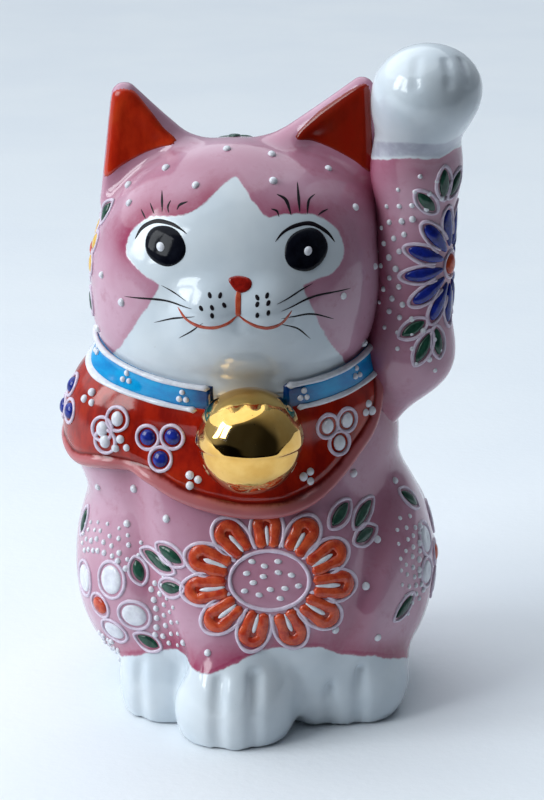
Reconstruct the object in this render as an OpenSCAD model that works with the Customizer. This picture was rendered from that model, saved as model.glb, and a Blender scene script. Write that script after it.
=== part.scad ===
// Beckoning cat figurine: hollow porcelain castings with a luted arm and bell,
// and every raised enamel layer as a sub-part of its own.
// Millimetres. Front faces -Y, up is +Z, the foot rests on z = 0.

/* [Overall] */
// Size factor on the whole figure, 1 is a cat 125 mm tall
size = 1; // [0.9:0.05:1.1]

/* [Castings] */
// Wall thickness of the hollow body and head
wall = 3.5; // [2.5:0.5:4.5]
// Diameter of the vent hole in the foot
vent_d = 10; // [6:1:14]

/* [Bell] */
// Diameter of the round bell
bell_d = 19.4; // [17:0.3:20.9]
// Height of the step round the middle of the bell
bell_step = 0.35; // [0.2:0.05:0.6]

/* [Collar and bib] */
// Width of the collar band
collar_w = 5; // [4.2:0.2:5.6]
// How far the collar stands off the neck
collar_t = 0.7; // [0.5:0.1:1]
// Thickness of the bib layer
bib_t = 1.3; // [0.9:0.1:1.8]

/* [Raised enamel] */
// Diameter of a trailed dot
bead_d = 1.45; // [1.1:0.05:1.8]
// Width of a trailed line
line_w = 0.7; // [0.5:0.05:0.9]
// Height of a trailed line
line_h = 0.36; // [0.2:0.04:0.6]
// Height of a petal, leaf or berry
petal_h = 0.5; // [0.3:0.05:0.8]

/* [Flowers] */
// Petals round the belly flower
belly_petals = 11; // [9:1:13]
// Petals round the flower on the raised arm
arm_petals = 13; // [9:1:14]

/* [Node] */
// Which sub-part to build

/* [Hidden] */

pink = [0.83, 0.58, 0.66];
white = [0.93, 0.94, 0.95];
red = [0.72, 0.13, 0.07];
blue = [0.1, 0.18, 0.55];
green = [0.12, 0.32, 0.2];
orange = [0.85, 0.3, 0.16];
turquoise = [0.05, 0.5, 0.72];
gold = [0.85, 0.65, 0.25];
black = [0.05, 0.05, 0.08];
yellow = [0.93, 0.8, 0.35];

// ---- soft forms that blend into each other -------------------------------------------
// a form is ["ball", centre, radii, blend], ["limb", from, to, radius, radius, blend]
// or ["web", corner, corner, corner, three radii, blend]
body_forms = [
  ["ball", [-3, 2, 50], [29, 21.5, 28], 1],               // chest and back
  ["ball", [-1, 1, 26], [27.5, 25, 27], 8],               // belly
  ["ball", [-20.8, 4, 24.4], [13.8, 22, 20.6], 6],        // right haunch
  ["ball", [20.3, 4, 24.2], [13, 22, 20.8], 5],           // left haunch
  ["ball", [-23.8, -2, 53.5], [10.5, 12, 12], 7],         // right shoulder
  ["limb", [-13, -11, 44], [-5, -20, 12], 8.5, 8.5, 7],   // planted foreleg
  ["ball", [8, -16, 22], [15, 9.5, 18], 7],               // lap
  ["ball", [-4.4, -21.7, 6], [11.4, 10.8, 11.8], 3.5],    // front paw
  ["ball", [-17, -11.2, 6], [9, 9.5, 11.5], 3],           // right hind paw
  ["limb", [11, -11.5, 6.5], [17, -11, 6.5], 11, 11, 4],  // left hind paw
  ["limb", [1, 24.5, 13], [9, 25.5, 25], 4, 3.2, 3],      // short tail
  ["ball", [-1, 4, 6], [24, 20, 10], 5],                  // foot
  ["ball", [-3.6, 0, 66], [23.4, 21, 11], 7]              // neck
];
skull_forms = [
  ["ball", [-4, -2, 86.5], [24.3, 20.5, 19.6], 1.5],      // crown
  ["ball", [-4.2, -3, 80], [24.8, 20, 16], 8],            // cheeks
  ["ball", [-4.5, -2.5, 72.5], [24.4, 19.5, 12], 6],      // jowls
  ["ball", [-3.3, -20, 78.5], [10.5, 6, 7.5], 5],         // muzzle
  ["ball", [8.6, -0.5, 92.5], [12, 13, 9], 5]             // under the left ear
];
head_forms = concat([body_forms[len(body_forms) - 1]], skull_forms);
ear_r = [["web", [-24, -1, 113.9], [-25.5, 0, 95], [-11.5, 1, 100.4], [2.2, 3, 3.4], 1]];
ear_l = [["web", [18.4, -1, 115], [18.2, 0, 95], [4, 1, 103], [2, 3, 3.2], 1]];
arm_forms = [
  ["limb", [19, 0, 55], [27.2, -2, 67], 6.5, 7.2, 1],         // elbow
  ["limb", [27.2, -2, 67], [28.2, -3.5, 101], 7.6, 7, 5],     // forearm
  ["limb", [28, -3.5, 101], [28, -6.5, 111], 7.4, 7.7, 4],    // wrist
  ["ball", [29.5, -11.4, 117], [9.4, 9.6, 8], 6]              // curled paw
];

function unit(v) = v / norm(v);
function ball(p, c, r) =
  let (q = p - c, u = [q.x / r.x, q.y / r.y, q.z / r.z], k = norm(u))
  k * (k - 1) / (norm([u.x / r.x, u.y / r.y, u.z / r.z]) + 0.000001);
function limb(p, a, b, ra, rb) =
  let (s = b - a, t = max(0, min(1, (p - a) * s / (s * s)))) norm(p - a - t * s) - ra - (rb - ra) * t;
function off_edge(q, e) = let (t = max(0, min(1, q * e / (e * e))), d = q - t * e) d * d;
function web(p, a, b, c, r) =
  let (ab = b - a, bc = c - b, ca = a - c, n = cross(ab, ca), pa = p - a, pb = p - b, pc = p - c,
       inside = sign(cross(ab, n) * pa) + sign(cross(bc, n) * pb) + sign(cross(ca, n) * pc),
       d = sqrt(inside < 2 ? min(off_edge(pa, ab), off_edge(pb, bc), off_edge(pc, ca))
                           : pow(pa * n, 2) / (n * n)),
       v0 = ab, v1 = -ca, k = (v0 * v0) * (v1 * v1) - pow(v0 * v1, 2),
       v = max(0, min(1, ((v1 * v1) * (pa * v0) - (v0 * v1) * (pa * v1)) / k)),
       w = max(0, min(1, ((v0 * v0) * (pa * v1) - (v0 * v1) * (pa * v0)) / k)),
       s = max(0, min(1, 1 - v - w)))
  d - (s * r[0] + v * r[1] + w * r[2]) / (s + v + w);
function form(p, s) =
  s[0] == "ball" ? ball(p, s[1], s[2]) :
  s[0] == "limb" ? limb(p, s[1], s[2], s[3], s[4]) : web(p, s[1], s[2], s[3], s[4]);
function mix(a, b, k) = let (h = max(k - abs(a - b), 0)) min(a, b) - h * h / (4 * k);
function melt(p, forms, i, d) =
  i == len(forms) ? d : melt(p, forms, i + 1, mix(d, form(p, forms[i]), forms[i][len(forms[i]) - 1]));
function field(p, forms) = melt(p, forms, 1, form(p, forms[0]));

// distance outside one of the modelled surfaces
function off_body(p) = field(p, body_forms);
function off_head(p) = mix(field(p, skull_forms),
                           min(field(p, ear_r), field(p, ear_l)), 6);
function off_arm(p) = field(p, arm_forms);
function off(p, where) =
  where == "arm" ? off_arm(p) : where == "head" ? off_head(p) : mix(off_body(p), off_head(p), 1.5);
function slope(p, where) =
  let (e = 0.05, f = off(p, where))
  unit([off(p + [e, 0, 0], where) - f, off(p + [0, e, 0], where) - f, off(p + [0, 0, e], where) - f]);
// move a point along a direction until it is lift above the surface
function settle(p, d, where, lift, n = 5) =
  n == 0 ? p : settle(p - d * (off(p, where) - lift), d, where, lift, n - 1);
// march outward from inside
function reach(c, d, forms, t, n) = n == 0 ? t : reach(c, d, forms, t - field(c + d * t, forms), n - 1);

// ---- places: turn round the figure from the front, and height or rise -----------------
body_axis = [-2, 2];
head_mid = [-4, -2, 84];
arm_axis = [28, -3];
function at_body(turn, z) =
  let (d = [sin(turn), -cos(turn), 0], c = [body_axis.x, body_axis.y, z])
  settle(c + d * 30, d, "body", 0, 9);
function at_head(turn, rise) =
  let (d = [sin(turn) * cos(rise), -cos(turn) * cos(rise), sin(rise)])
  settle(head_mid + d * 27, d, "head", 0, 9);
function at_arm(turn, z) =
  let (d = [sin(turn), -cos(turn), 0]) settle([arm_axis.x, arm_axis.y, z] + d * 9, d, "arm", 0, 9);
function place(spot, where) =
  where == "arm" ? at_arm(spot[0], spot[1]) :
  where == "head" ? at_head(spot[0], spot[1]) : at_body(spot[0], spot[1]);
// a seat is [point, outward normal, level direction, upward direction, where, lift]
function seat(spot, where = "body", lift = 0) =
  let (p = place(spot, where), n = slope(p, where), u = unit(cross([0, 0, 1], n)))
  [p + n * lift, n, u, cross(n, u), where, lift];
// the seat of a point a across and b up from another seat
function shifted(s, a, b) =
  let (p = settle(s[0] + a * s[2] + b * s[3], s[1], s[4], s[5]),
       n = slope(p, s[4]), u = unit(cross([0, 0, 1], n)))
  [p, n, u, cross(n, u), s[4], s[5]];
function on_seat(s, a, b) = settle(s[0] + a * s[2] + b * s[3], s[1], s[4], s[5], 4);
function spun(q, t) = [q.x * cos(t) - q.y * sin(t), q.x * sin(t) + q.y * cos(t)];

// ---- closed skins from rings of points --------------------------------------------------
module skin(rings) {
  n = len(rings[0]);
  m = len(rings);
  low = [for (i = [0:2]) [for (k = [0:n - 1]) rings[0][k][i]] * [for (k = [0:n - 1]) 1 / n]];
  high = [for (i = [0:2]) [for (k = [0:n - 1]) rings[m - 1][k][i]] * [for (k = [0:n - 1]) 1 / n]];
  polyhedron(
    points = concat([for (r = rings) for (p = r) p], [low, high]),
    faces = concat(
      [for (j = [0:m - 2]) for (i = [0:n - 1]) let (k = (i + 1) % n)
        [j * n + i, (j + 1) * n + i, j * n + k]],
      [for (j = [0:m - 2]) for (i = [0:n - 1]) let (k = (i + 1) % n)
        [j * n + k, (j + 1) * n + i, (j + 1) * n + k]],
      [for (i = [0:n - 1]) [i, (i + 1) % n, m * n]],
      [for (i = [0:n - 1]) [(m - 1) * n + (i + 1) % n, (m - 1) * n + i, m * n + 1]]));
}
// rings joined one to the next and the last to the first, like the wall of a pipe
module loop_skin(rings) {
  n = len(rings[0]);
  m = len(rings);
  polyhedron(
    points = [for (r = rings) for (p = r) p],
    faces = [for (j = [0:m - 1]) for (i = [0:n - 1]) for (half = [0, 1])
      let (k = (i + 1) % n, u = ((j + 1) % m) * n)
      half == 0 ? [j * n + i, u + i, j * n + k] : [j * n + k, u + i, u + k]]);
}
// one mesh out of several, so that their booleans stay fast
module one_mesh() resize([0, 0, 0]) children();

// ---- castings -----------------------------------------------------------------------------
seam_tilt = 0.16;
function seam_z(y) = 67.4 + seam_tilt * y;
body_sides = 72;
body_rings = 26;
function body_ring(t, inset) = // t runs from the foot to the seam
  [for (i = [0:body_sides - 1]) let (
    a = 360 / body_sides * i, d = [cos(a), sin(a), t * seam_tilt * sin(a)],
    c = [body_axis.x, body_axis.y, t * seam_z(body_axis.y)],
    r = reach(c, d / norm([d.x, d.y]), body_forms, 24, 9))
    c + d * (r - inset)];
function body_rows() =
  [for (j = [0:body_rings]) [for (p = body_ring(pow(j / body_rings, 1.15), 0)) [p.x, p.y, max(p.z, 0)]]];
floor_t = 0.065; // where the inner floor lies, as a share of the way to the seam
function vent_ring(t) = // rim of the vent hole
  [for (i = [0:body_sides - 1]) let (a = 360 / body_sides * i, y = 8 + vent_d / 2 * sin(a))
    [body_axis.x + vent_d / 2 * cos(a), y, t * seam_z(y)]];
module torso_casting() color(pink) {
  rows = 14;
  loop_skin(concat(
    [vent_ring(0)],
    body_rows(),
    [for (j = [rows:-1:0]) body_ring(floor_t + (1 - floor_t) * j / rows, wall + (j == 0 ? 3 : 0))],
    [vent_ring(floor_t)]));
}

head_sides = 60;
function head_ring(rise, inset, sides) =
  [for (i = [0:sides - 1]) let (
    a = 360 / sides * i, d = [cos(a) * cos(rise), sin(a) * cos(rise), sin(rise)],
    r = reach(head_mid, d, head_forms, 20, 9))
    head_mid + d * (r - inset)];
function seam_ring(inset, sides, drop) = // where the head meets the body
  [for (i = [0:sides - 1]) let (
    a = 360 / sides * i, c = [body_axis.x, body_axis.y, seam_z(body_axis.y) - drop],
    d = [cos(a), sin(a), seam_tilt * sin(a)],
    r = reach(c, d, body_forms, 22, 9))
    c + d * (r - inset)];
module head_lump(inset, sides, rows, drop) {
  skin(concat(
    [seam_ring(inset, sides, drop)],
    [for (j = [0:rows - 1]) head_ring(-30 + 116 * j / (rows - 1), inset, sides)]));
}
// an ear as rings square to the line from its root to its tip
function ear_ring(root, tip, t, ear) =
  let (ax = tip - root, w = unit(ax), u = unit(cross([0, 1, 0], w)), v = cross(w, u), c = root + ax * t)
  [for (i = [0:19]) let (d = cos(18 * i) * u + sin(18 * i) * v)
    c + d * min(14, ear_reach(c, d, ear, 1, 12))];
function ear_reach(c, d, ear, t, n) =
  n == 0 ? t : ear_reach(c, d, ear, t - mix(field(c + d * t, skull_forms), field(c + d * t, ear), 6), n - 1);
module ear(root, tip, ear_forms) {
  skin([for (t = [-0.04, 0.1, 0.21, 0.32, 0.43, 0.55, 0.66, 0.76, 0.85, 0.92, 0.97, 1])
    ear_ring(root, tip, t, ear_forms)]);
}
module head_casting() color(pink) one_mesh() difference() {
  union() {
    head_lump(0, head_sides, 20, 0);
    ear([-17, -1, 92], [-24, -1, 116.1], ear_r);
    ear([10.5, -1, 92], [18.4, -1, 117], ear_l);
  }
  head_lump(wall, 30, 12, 0.4);
}

arm_sides = 28;
function arm_spine(t) = // from the shoulder to the top of the paw
  t < 0.2 ? [19, 0, 53] + [8.2, -2, 14] * t / 0.2 :
  t < 0.75 ? [27.2, -2, 67] + [1, -1.5, 34] * (t - 0.2) / 0.55 :
  [28.2, -3.5, 101] + [1.2, -7.7, 23.96] * (t - 0.75) / 0.25;
function arm_ring(t) =
  let (c = arm_spine(t), w = unit(arm_spine(min(1, t + 0.04)) - arm_spine(max(0, t - 0.04))),
       u = unit(cross([0, 1, 0], w)), v = cross(w, u))
  [for (i = [0:arm_sides - 1]) let (d = cos(360 / arm_sides * i) * u + sin(360 / arm_sides * i) * v)
    c + d * reach(c, d, arm_forms, 7, 9)];
module arm_outside() {
  skin([for (j = [0:22]) arm_ring(0.02 + 0.98 * sin(90 * j / 22))]);
}
module raised_arm_casting() color(pink) one_mesh() difference() {
  arm_outside();
  skin(body_rows());
  head_lump(0, head_sides, 20, 0.4);
}

// ---- raised enamel ------------------------------------------------------------------------
module turned_to(s) translate(s[0]) rotate([0, acos(s[1].z), atan2(s[1].y, s[1].x)]) children();
// a trailed dot: the cap of a ball, flat against the glaze
module bead(s, d = bead_d) turned_to(s) rotate_extrude($fn = 64) intersection() {
  translate([0, -0.08 * d]) circle(d = d);
  translate([0, -0.04]) square([d, d]);
}
// a blob of enamel over an outline drawn on a seat
module pad(s, outline, h = petal_h) {
  skin([[for (q = outline) on_seat(s, q.x, q.y)],
        [for (q = outline) on_seat(s, 0.74 * q.x, 0.74 * q.y) + h * s[1]]]);
}
// a trailed line along a path drawn on a seat
module trail(s, path, closed = true, w = line_w, h = line_h) {
  n = len(path);
  rings = [for (i = [0:n - 1]) let (
    q = path[i], f = closed ? path[(i + 1) % n] : path[min(n - 1, i + 1)],
    b = closed ? path[(i + n - 1) % n] : path[max(0, i - 1)],
    t = (f - b) / norm(f - b), l = [-t.y, t.x] * w / 2)
    [on_seat(s, q.x + l.x, q.y + l.y), on_seat(s, q.x, q.y) + h * s[1], on_seat(s, q.x - l.x, q.y - l.y)]];
  if (closed) loop_skin(rings); else skin(rings);
}
// outlines, centred on their seat: egg with its broad end up, turned by t; leaf with two points
function egg(len, wide, t, n = 12) =
  [for (i = [0:n - 1]) let (a = 360 / n * i - 90)
    spun([wide / 2 * cos(a) * (1 + 0.28 * sin(a)), len / 2 * sin(a)], t)];
function round_spot(long, wide, n = 12) =
  [for (i = [0:n - 1]) [wide / 2 * sin(360 / n * i), -long / 2 * cos(360 / n * i)]];
function leaf(len, wide, t, n = 12) =
  [for (i = [0:n - 1]) let (a = 360 / n * i - 90)
    spun([wide / 2 * sign(cos(a)) * pow(abs(cos(a)), 1.5), len / 2 * sin(a)], t)];
// a horseshoe open at its foot
function shoe(len, wide, t, n = 11) =
  [for (i = [0:n - 1]) let (a = -60 + 300 / (n - 1) * i) spun([wide / 2 * cos(a), len / 2 * sin(a)], t)];
mm_body = 28 * PI / 180; // distance round the body for one degree of turn
mm_head = 27 * PI / 180;
mm_arm = 7.6 * PI / 180;
// a spot moved a mm across and b mm up
function moved(spot, a, b, where) =
  where == "arm" ? [spot[0] + a / mm_arm, spot[1] + b] :
  where == "head" ? [spot[0] + a / mm_head, spot[1] + b / mm_head] : [spot[0] + a / mm_body, spot[1] + b];
module trio(spot, gap, where, lift, t = 0, d = bead_d)
  for (k = [0:2])
    bead(seat(moved(spot, gap * cos(120 * k + t), gap * sin(120 * k + t), where), where, lift), d);

// ---- bell, collar and bib -------------------------------------------------------------------
bell_at = [-1.7, -23.5, 56.4];
module bell() color(gold) difference() {
  translate(bell_at) rotate_extrude($fn = 96) union() {
    intersection() {
      circle(d = bell_d);
      translate([0, -bell_d]) square([bell_d, bell_d + bell_step]);
    }
    intersection() {
      circle(d = bell_d - 2 * bell_step);
      translate([0, -bell_d]) square([bell_d, 2 * bell_d]);
    }
  }
  translate([body_axis.x, body_axis.y, 30]) cylinder(r = 22.4 + bib_t, h = 60, $fn = 120);
}

bib_edge = [ // turn round the body and height of the hem there
  [-124, 66], [-113, 57], [-98, 51], [-83, 48.6], [-70, 46.9], [-56, 47.9], [-42, 47], [-28, 44.3],
  [-13, 42.3], [1, 41.2], [18, 41.8], [36, 45], [51, 50.3], [63, 56], [72, 65]];
function hem(turn, i = 0) =
  i >= len(bib_edge) - 2 || turn <= bib_edge[i + 1][0]
    ? let (a = bib_edge[i], b = bib_edge[i + 1], t = (turn - a[0]) / (b[0] - a[0])) a[1] + (b[1] - a[1]) * t
    : hem(turn, i + 1);
function on_body(turn, z, lift) =
  let (d = [sin(turn), -cos(turn), 0]) settle([body_axis.x, body_axis.y, z] + d * 30, d, "body", lift, 9);
function collar_mid(turn) = let (p = on_body(turn, 65, 0)) 68.4 + (p.y < 0 ? 0.245 : 0.13) * p.y;
module bib_layer() color(red) {
  rows = 36;
  skin([for (j = [0:rows]) let (
    turn = 72 - 0.2 - (196 - 0.4) * j / rows, lo = hem(turn),
    hi = max(collar_mid(turn) - collar_w / 2 + 0.4, lo + 0.4),
    roll = min(1.6, (hi - lo) / 2))
    concat(
      [for (k = [0:3]) on_body(turn, hi + (lo - hi) * k / 3, 0)],
      [on_body(turn, lo - 0.1 * roll, 0.55 * bib_t), on_body(turn, lo + 0.5 * roll, bib_t),
       on_body(turn, lo + roll, bib_t)],
      [for (k = [1:2]) on_body(turn, lo + roll + (hi - lo - roll) * k / 2, bib_t)])]);
}
collar_ends = [16, 345]; // the band is open in front, where the bell hangs
collar_steps = 60;
module collar_band() color(turquoise) skin([for (j = [0:collar_steps]) let (
  turn = collar_ends[1] + (collar_ends[0] - collar_ends[1]) * j / collar_steps,
  c = collar_mid(turn), w = collar_w / 2)
  [on_body(turn, c - w, 0), on_body(turn, c - w, 0.6 * collar_t), on_body(turn, c - w + 0.4, collar_t),
   on_body(turn, c + w - 0.4, collar_t), on_body(turn, c + w, 0.6 * collar_t), on_body(turn, c + w, 0)]]);
module piping(rise, lift, from, to) {
  n = 54;
  skin([for (j = [0:n]) let (turn = to + (from - to) * j / n, z = collar_mid(turn) + rise)
    [on_body(turn, z - line_w * 0.6, lift), on_body(turn, z, lift + line_h + 0.2),
     on_body(turn, z + line_w * 0.6, lift)]]);
}
module collar_piping() color(white) {
  piping(collar_w / 2 - 0.45, collar_t - 0.05, 17, 344);
  piping(-collar_w / 2 + 0.3, collar_t - 0.05, 22, 338);
}
module collar_dots() color(white)
  for (turn = [25, 54, 84, 114, 144, 174, 204, 234, 262, 283, 306, 332])
    trio([turn, collar_mid(turn)], 0.85, "body", collar_t, 90, 0.72 * bead_d);

berry_spots = [[-43.6, 55], [-33.6, 55.6], [-37, 51.3], [-79, 60.3], [-82, 56.1], [-74, 56.6]];
blossom_spots = [[-58.5, 55.6], [-54.5, 57.7], [-57.2, 53.6], [37, 57.2], [46.5, 57.6], [42.5, 53.6]];
module on_bib(spots, long, wide, h)
  for (q = spots) pad(seat(q, "body", bib_t), round_spot(long, wide), h);
module bib_berries() color(blue) on_bib(berry_spots, 3, 2.9, 0.75);
module bib_blossoms() color(white) on_bib(blossom_spots, 2.8, 2.4, 0.75);
module bib_outlines() color(white)
  for (q = concat(berry_spots, blossom_spots)) trail(seat(q, "body", bib_t), round_spot(4.3, 4.1));
module bib_dots() color(white) for (q = [[-23.5, 48.2], [27, 48.3], [-66, 60], [-52.4, 53.3], [58, 58.5]])
  trio(q, 1, "body", bib_t, 30 + q[0]);

// ---- face -------------------------------------------------------------------------------------
eye_spots = [[-34.7, 18.2], [33.7, 16.6]];
module eye_discs() color(black)
  for (q = eye_spots) pad(seat(q, "head"), round_spot(7.6, 7.4, 20), 0.28);
module eye_highlights() color(white)
  for (q = eye_spots) bead(seat(moved(q, -0.3, -0.1, "head"), "head", 0.26), 1.7);
module nose_pad() color(red) pad(seat([1.4, 5.6], "head"), egg(2.7, 4.3, 0, 12), 0.3);
ear_linings_x_z = [ // outline of each red ear front, seen from the front
  [[-25.8, 115.1], [-22.5, 115.2], [-19.7, 112], [-16.9, 108.3], [-14.6, 105.8], [-17.6, 104.7],
   [-20.7, 103.5], [-24.4, 101.4], [-27.8, 99], [-27.4, 103.9], [-26.8, 110.2]],
  [[6.4, 106.5], [10.2, 110.8], [13.2, 113.1], [16.9, 115.6], [19.4, 116.4], [19.9, 112.9],
   [20.3, 105.3], [20.5, 100], [16.9, 102.3], [13.2, 104.3], [9.4, 105.8]]];
module ear_linings() color(red) for (outline = ear_linings_x_z)
  skin([for (lift = [0.2, 0]) [for (q = outline) settle([q.x, -9, q.y], [0, -1, 0], "head", lift, 12)]]);

// ---- belly flower -----------------------------------------------------------------------------
belly_at = [8, 30.8];
belly_ring_r = [7.1, 5.3];
belly_tip_r = [15.3, 12.3];
function belly_petal(i) = // middle, direction and length of one petal on the belly seat
  let (a = 93 - 360 / belly_petals * i, p = [belly_ring_r.x * cos(a), belly_ring_r.y * sin(a)] * 1.06,
       q = [belly_tip_r.x * cos(a), belly_tip_r.y * sin(a)])
  [(p + q) / 2, atan2(q.y - p.y, q.x - p.x) - 90, norm(q - p)];
module each_petal(lift = 0) {
  base = seat(belly_at, "body", lift);
  for (i = [0:belly_petals - 1]) {
    $petal = belly_petal(i);
    $seat = shifted(base, $petal[0].x, $petal[0].y);
    children();
  }
}
belly_wide = 57 / belly_petals;
module belly_petals_orange() color(orange)
  each_petal() pad($seat, egg($petal[2], belly_wide, $petal[1], 12), 1.1 * petal_h);
module belly_strokes_white() color(white)
  each_petal(1.1 * petal_h)
    trail($seat, [for (k = [-1:1]) spun([0, $petal[2] * 0.24 * k], $petal[1])], false, 0.9, 0.3);
module belly_outlines() color(white)
  each_petal() trail($seat, shoe($petal[2] + 1.9, belly_wide + 1.7, $petal[1], 11), false);
module belly_ring() color(white) trail(seat(belly_at), [for (i = [0:35]) let (a = 10 * i)
  [belly_ring_r.x * cos(a), belly_ring_r.y * sin(a)]]);
module belly_dots() color(white) {
  s = seat(belly_at);
  for (i = [1:14]) let (r = sqrt(i / 15.5), a = 137.5 * i)
    bead(shifted(s, 0.8 * belly_ring_r.x * r * cos(a), 0.8 * belly_ring_r.y * r * sin(a)), 0.75 * bead_d);
}
belly_leaf_spots = [ // turn, height, lean and length
  [-36.8, 32.4, 75, 7.4], [-30.5, 34.4, 66, 5.4], [-30, 28.2, 100, 4.8],
  [39.5, 40.8, -56, 5.8], [51.5, 39.6, -66, 7.4], [48.5, 36.2, -86, 6.2]];
module leaves(list, where, wide = 2.2, h = petal_h)
  for (q = list) pad(seat([q[0], q[1]], where), leaf(q[3], wide, q[2], 12), h);
module leaf_lines(list, where, wide = 3.9)
  for (q = list) trail(seat([q[0], q[1]], where), leaf(q[3] + 1.6, wide, q[2], 12));
module belly_leaves() color(green) leaves(belly_leaf_spots, "body");
module belly_leaf_outlines() color(white) leaf_lines(belly_leaf_spots, "body");

// ---- flowers on the haunches --------------------------------------------------------------
right_haunch_spots = [ // turn, height, and how tall and wide the blossom is
  [-72, 24.3, 5.2, 4.4], [-55, 27, 5.4, 5], [-46, 21, 4.4, 4.9], [-57, 16.3, 3.7, 4.7]];
left_haunch_spots = [
  [76, 31.5, 5.2, 4.4], [73, 25.6, 4.3, 4.2], [86, 20.6, 4.4, 4.6], [100, 24, 4.6, 4.4], [96, 31.6, 4.8, 4.4]];
right_haunch_mid = [-61, 21];
left_haunch_mid = [87, 26.4];
right_leaf_spots = [[-80, 34, -12, 5], [-45.5, 29.6, 18, 4], [-41, 15.5, 70, 4.8]];
left_leaf_spots = [[76, 39.2, 40, 5.2], [58, 21.8, -64, 6], [108, 34, -40, 4.6]];
module blossom(list) for (q = list) pad(seat(q), round_spot(q[2], q[3]), petal_h);
module haunch_lines(spots, mid, leaf_spots) {
  for (q = spots) trail(seat(q), round_spot(q[2] + 1.4, q[3] + 1.4));
  trail(seat(mid), round_spot(4.6, 4.4));
  leaf_lines(leaf_spots, "body", 3.5);
}
module right_haunch_blossoms() color(white) blossom(right_haunch_spots);
module right_haunch_centre() color(orange) pad(seat(right_haunch_mid), round_spot(3.2, 3), 1.3 * petal_h);
module right_haunch_leaves() color(green) leaves(right_leaf_spots, "body", 2);
module right_haunch_outlines() color(white)
  haunch_lines(right_haunch_spots, right_haunch_mid, right_leaf_spots);
module left_haunch_blossoms() color(white) blossom(left_haunch_spots);
module left_haunch_centre() color(orange) pad(seat(left_haunch_mid), round_spot(3.2, 3), 1.3 * petal_h);
module left_haunch_leaves() color(green) leaves(left_leaf_spots, "body", 2);
module left_haunch_outlines() color(white)
  haunch_lines(left_haunch_spots, left_haunch_mid, left_leaf_spots);
// arcs of small dots that fade away from each haunch flower
module dot_field(mid, away, spread, first, per_row, rows = 4) for (j = [0:rows - 1], k = [0:per_row - 1])
  let (a = away + spread * ((k + 0.5 * (j % 2) + 0.5) / per_row - 0.5), r = first + 1.7 * j)
  bead(seat(moved(mid, r * cos(a), r * sin(a), "body")), (0.78 - 0.08 * j) * bead_d);
module haunch_dots() color(white) {
  dot_field([-61, 22], 92, 84, 9.4, 8);
  dot_field([-58, 21.5], 2, 64, 9.8, 6);
  dot_field([-62, 21], -104, 34, 8.4, 4, 3);
  dot_field([87, 27], 168, 84, 9.6, 9);
}

// ---- dots over the pink ---------------------------------------------------------------------
body_dot_spots = [[-68, 42.7], [-51, 44.4], [-53, 37.6], [-33, 40.8], [16, 42.3], [50, 47.1], [54, 34.7],
  [43, 27.9], [31, 20.8], [46, 17.8], [-14, 17.5], [-25, 17.8], [73, 42.9]];
module body_dots() color(white) {
  for (q = body_dot_spots) bead(seat(q));
  for (i = [0:20]) bead(seat([118 + 11.3 * (i % 12), 16 + 13 * floor(i / 6) + 5 * sin(140 * i)]));
}
head_dot_spots = [[-18, 75.9], [48, 67.7], [28, 51.5], [-29, 48.9], [-63, 52.7], [-82, 36.4],
  [-67, 31], [75, 46.4], [68, 27.3], [73, 1.4], [73, -30], [-54, -9], [50, -5.8], [-68, -0.8], [-77, -24]];
module head_dots() color(white) {
  for (q = head_dot_spots) bead(seat(q, "head"), 0.9 * bead_d);
  for (i = [0:11]) bead(seat([118 + 12 * i, 20 + 26 * sin(115 * i)], "head"), 0.9 * bead_d);
}

// ---- flower on the raised arm -----------------------------------------------------------------
arm_at = [66, 84.1];
function arm_petal(i) = let (a = 90 + 360 / arm_petals * (i + 0.5))
  [moved(arm_at, 6.7 * cos(a), 6.9 * sin(a), "arm"), a - 90];
arm_wide = 34 / arm_petals;
module arm_petals_blue() color(blue) for (i = [0:arm_petals - 1])
  pad(seat(arm_petal(i)[0], "arm"), egg(6.6, 0.82 * arm_wide, arm_petal(i)[1], 10), petal_h);
module arm_centre() color(orange) pad(seat(arm_at, "arm"), round_spot(3.6, 3.2), 1.4 * petal_h);
arm_leaf_spots = [
  [32, 100, 6, 5.4], [11, 96.7, 42, 4.8], [52, 99.5, -28, 4.8],
  [-3, 73.2, 122, 4.8], [12, 69.6, 152, 5.8], [36, 70.4, 184, 5]];
module arm_leaves() color(green) leaves(arm_leaf_spots, "arm", 1.9);
module arm_outlines() color(white) {
  for (i = [0:arm_petals - 1])
    trail(seat(arm_petal(i)[0], "arm"), shoe(8, 1.05 * arm_wide + 0.3, arm_petal(i)[1], 8), false, 0.6);
  leaf_lines(arm_leaf_spots, "arm", 3.1);
}
module arm_dots() color(white) for (j = [0:3], k = [0:10])
  let (a = 180 + 150 * ((k + 0.5 * (j % 2) + 0.5) / 11 - 0.5), r = 12.8 + 1.7 * j,
       q = moved(arm_at, r * cos(a), 1.12 * r * sin(a), "arm"))
  if (q[0] > -68) bead(seat(q, "arm"), (0.78 - 0.07 * j) * bead_d);

// ---- flower on the temple and leaves on the crown ---------------------------------------------
temple_at = [-93, 4];
module temple_petals() color(yellow) for (i = [0:5]) let (a = 60 * i + 30)
  pad(seat(moved(temple_at, 4 * cos(a), 4 * sin(a), "head"), "head"), egg(3.9, 2.8, a - 90, 12));
module temple_centre() color(orange) pad(seat(temple_at, "head"), round_spot(3, 3), 1.4 * petal_h);
temple_leaf_spots = [[-85, 21.5, -20, 4], [-84, -15, 20, 4], [-103, 21, 25, 4]];
module temple_leaves() color(green) leaves(temple_leaf_spots, "head", 1.9);
module temple_outlines() color(white) {
  for (i = [0:5]) let (a = 60 * i + 30)
    trail(seat(moved(temple_at, 4 * cos(a), 4 * sin(a), "head"), "head"), shoe(5.2, 4.1, a - 90, 9), false);
  leaf_lines(temple_leaf_spots, "head", 3.1);
}
crown_leaf_spots = [[184, 76, -8, 5], [196, 66, 30, 5], [168, 67, -35, 5]];
module crown_leaves() color(green) leaves(crown_leaf_spots, "head", 2.4);

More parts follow.
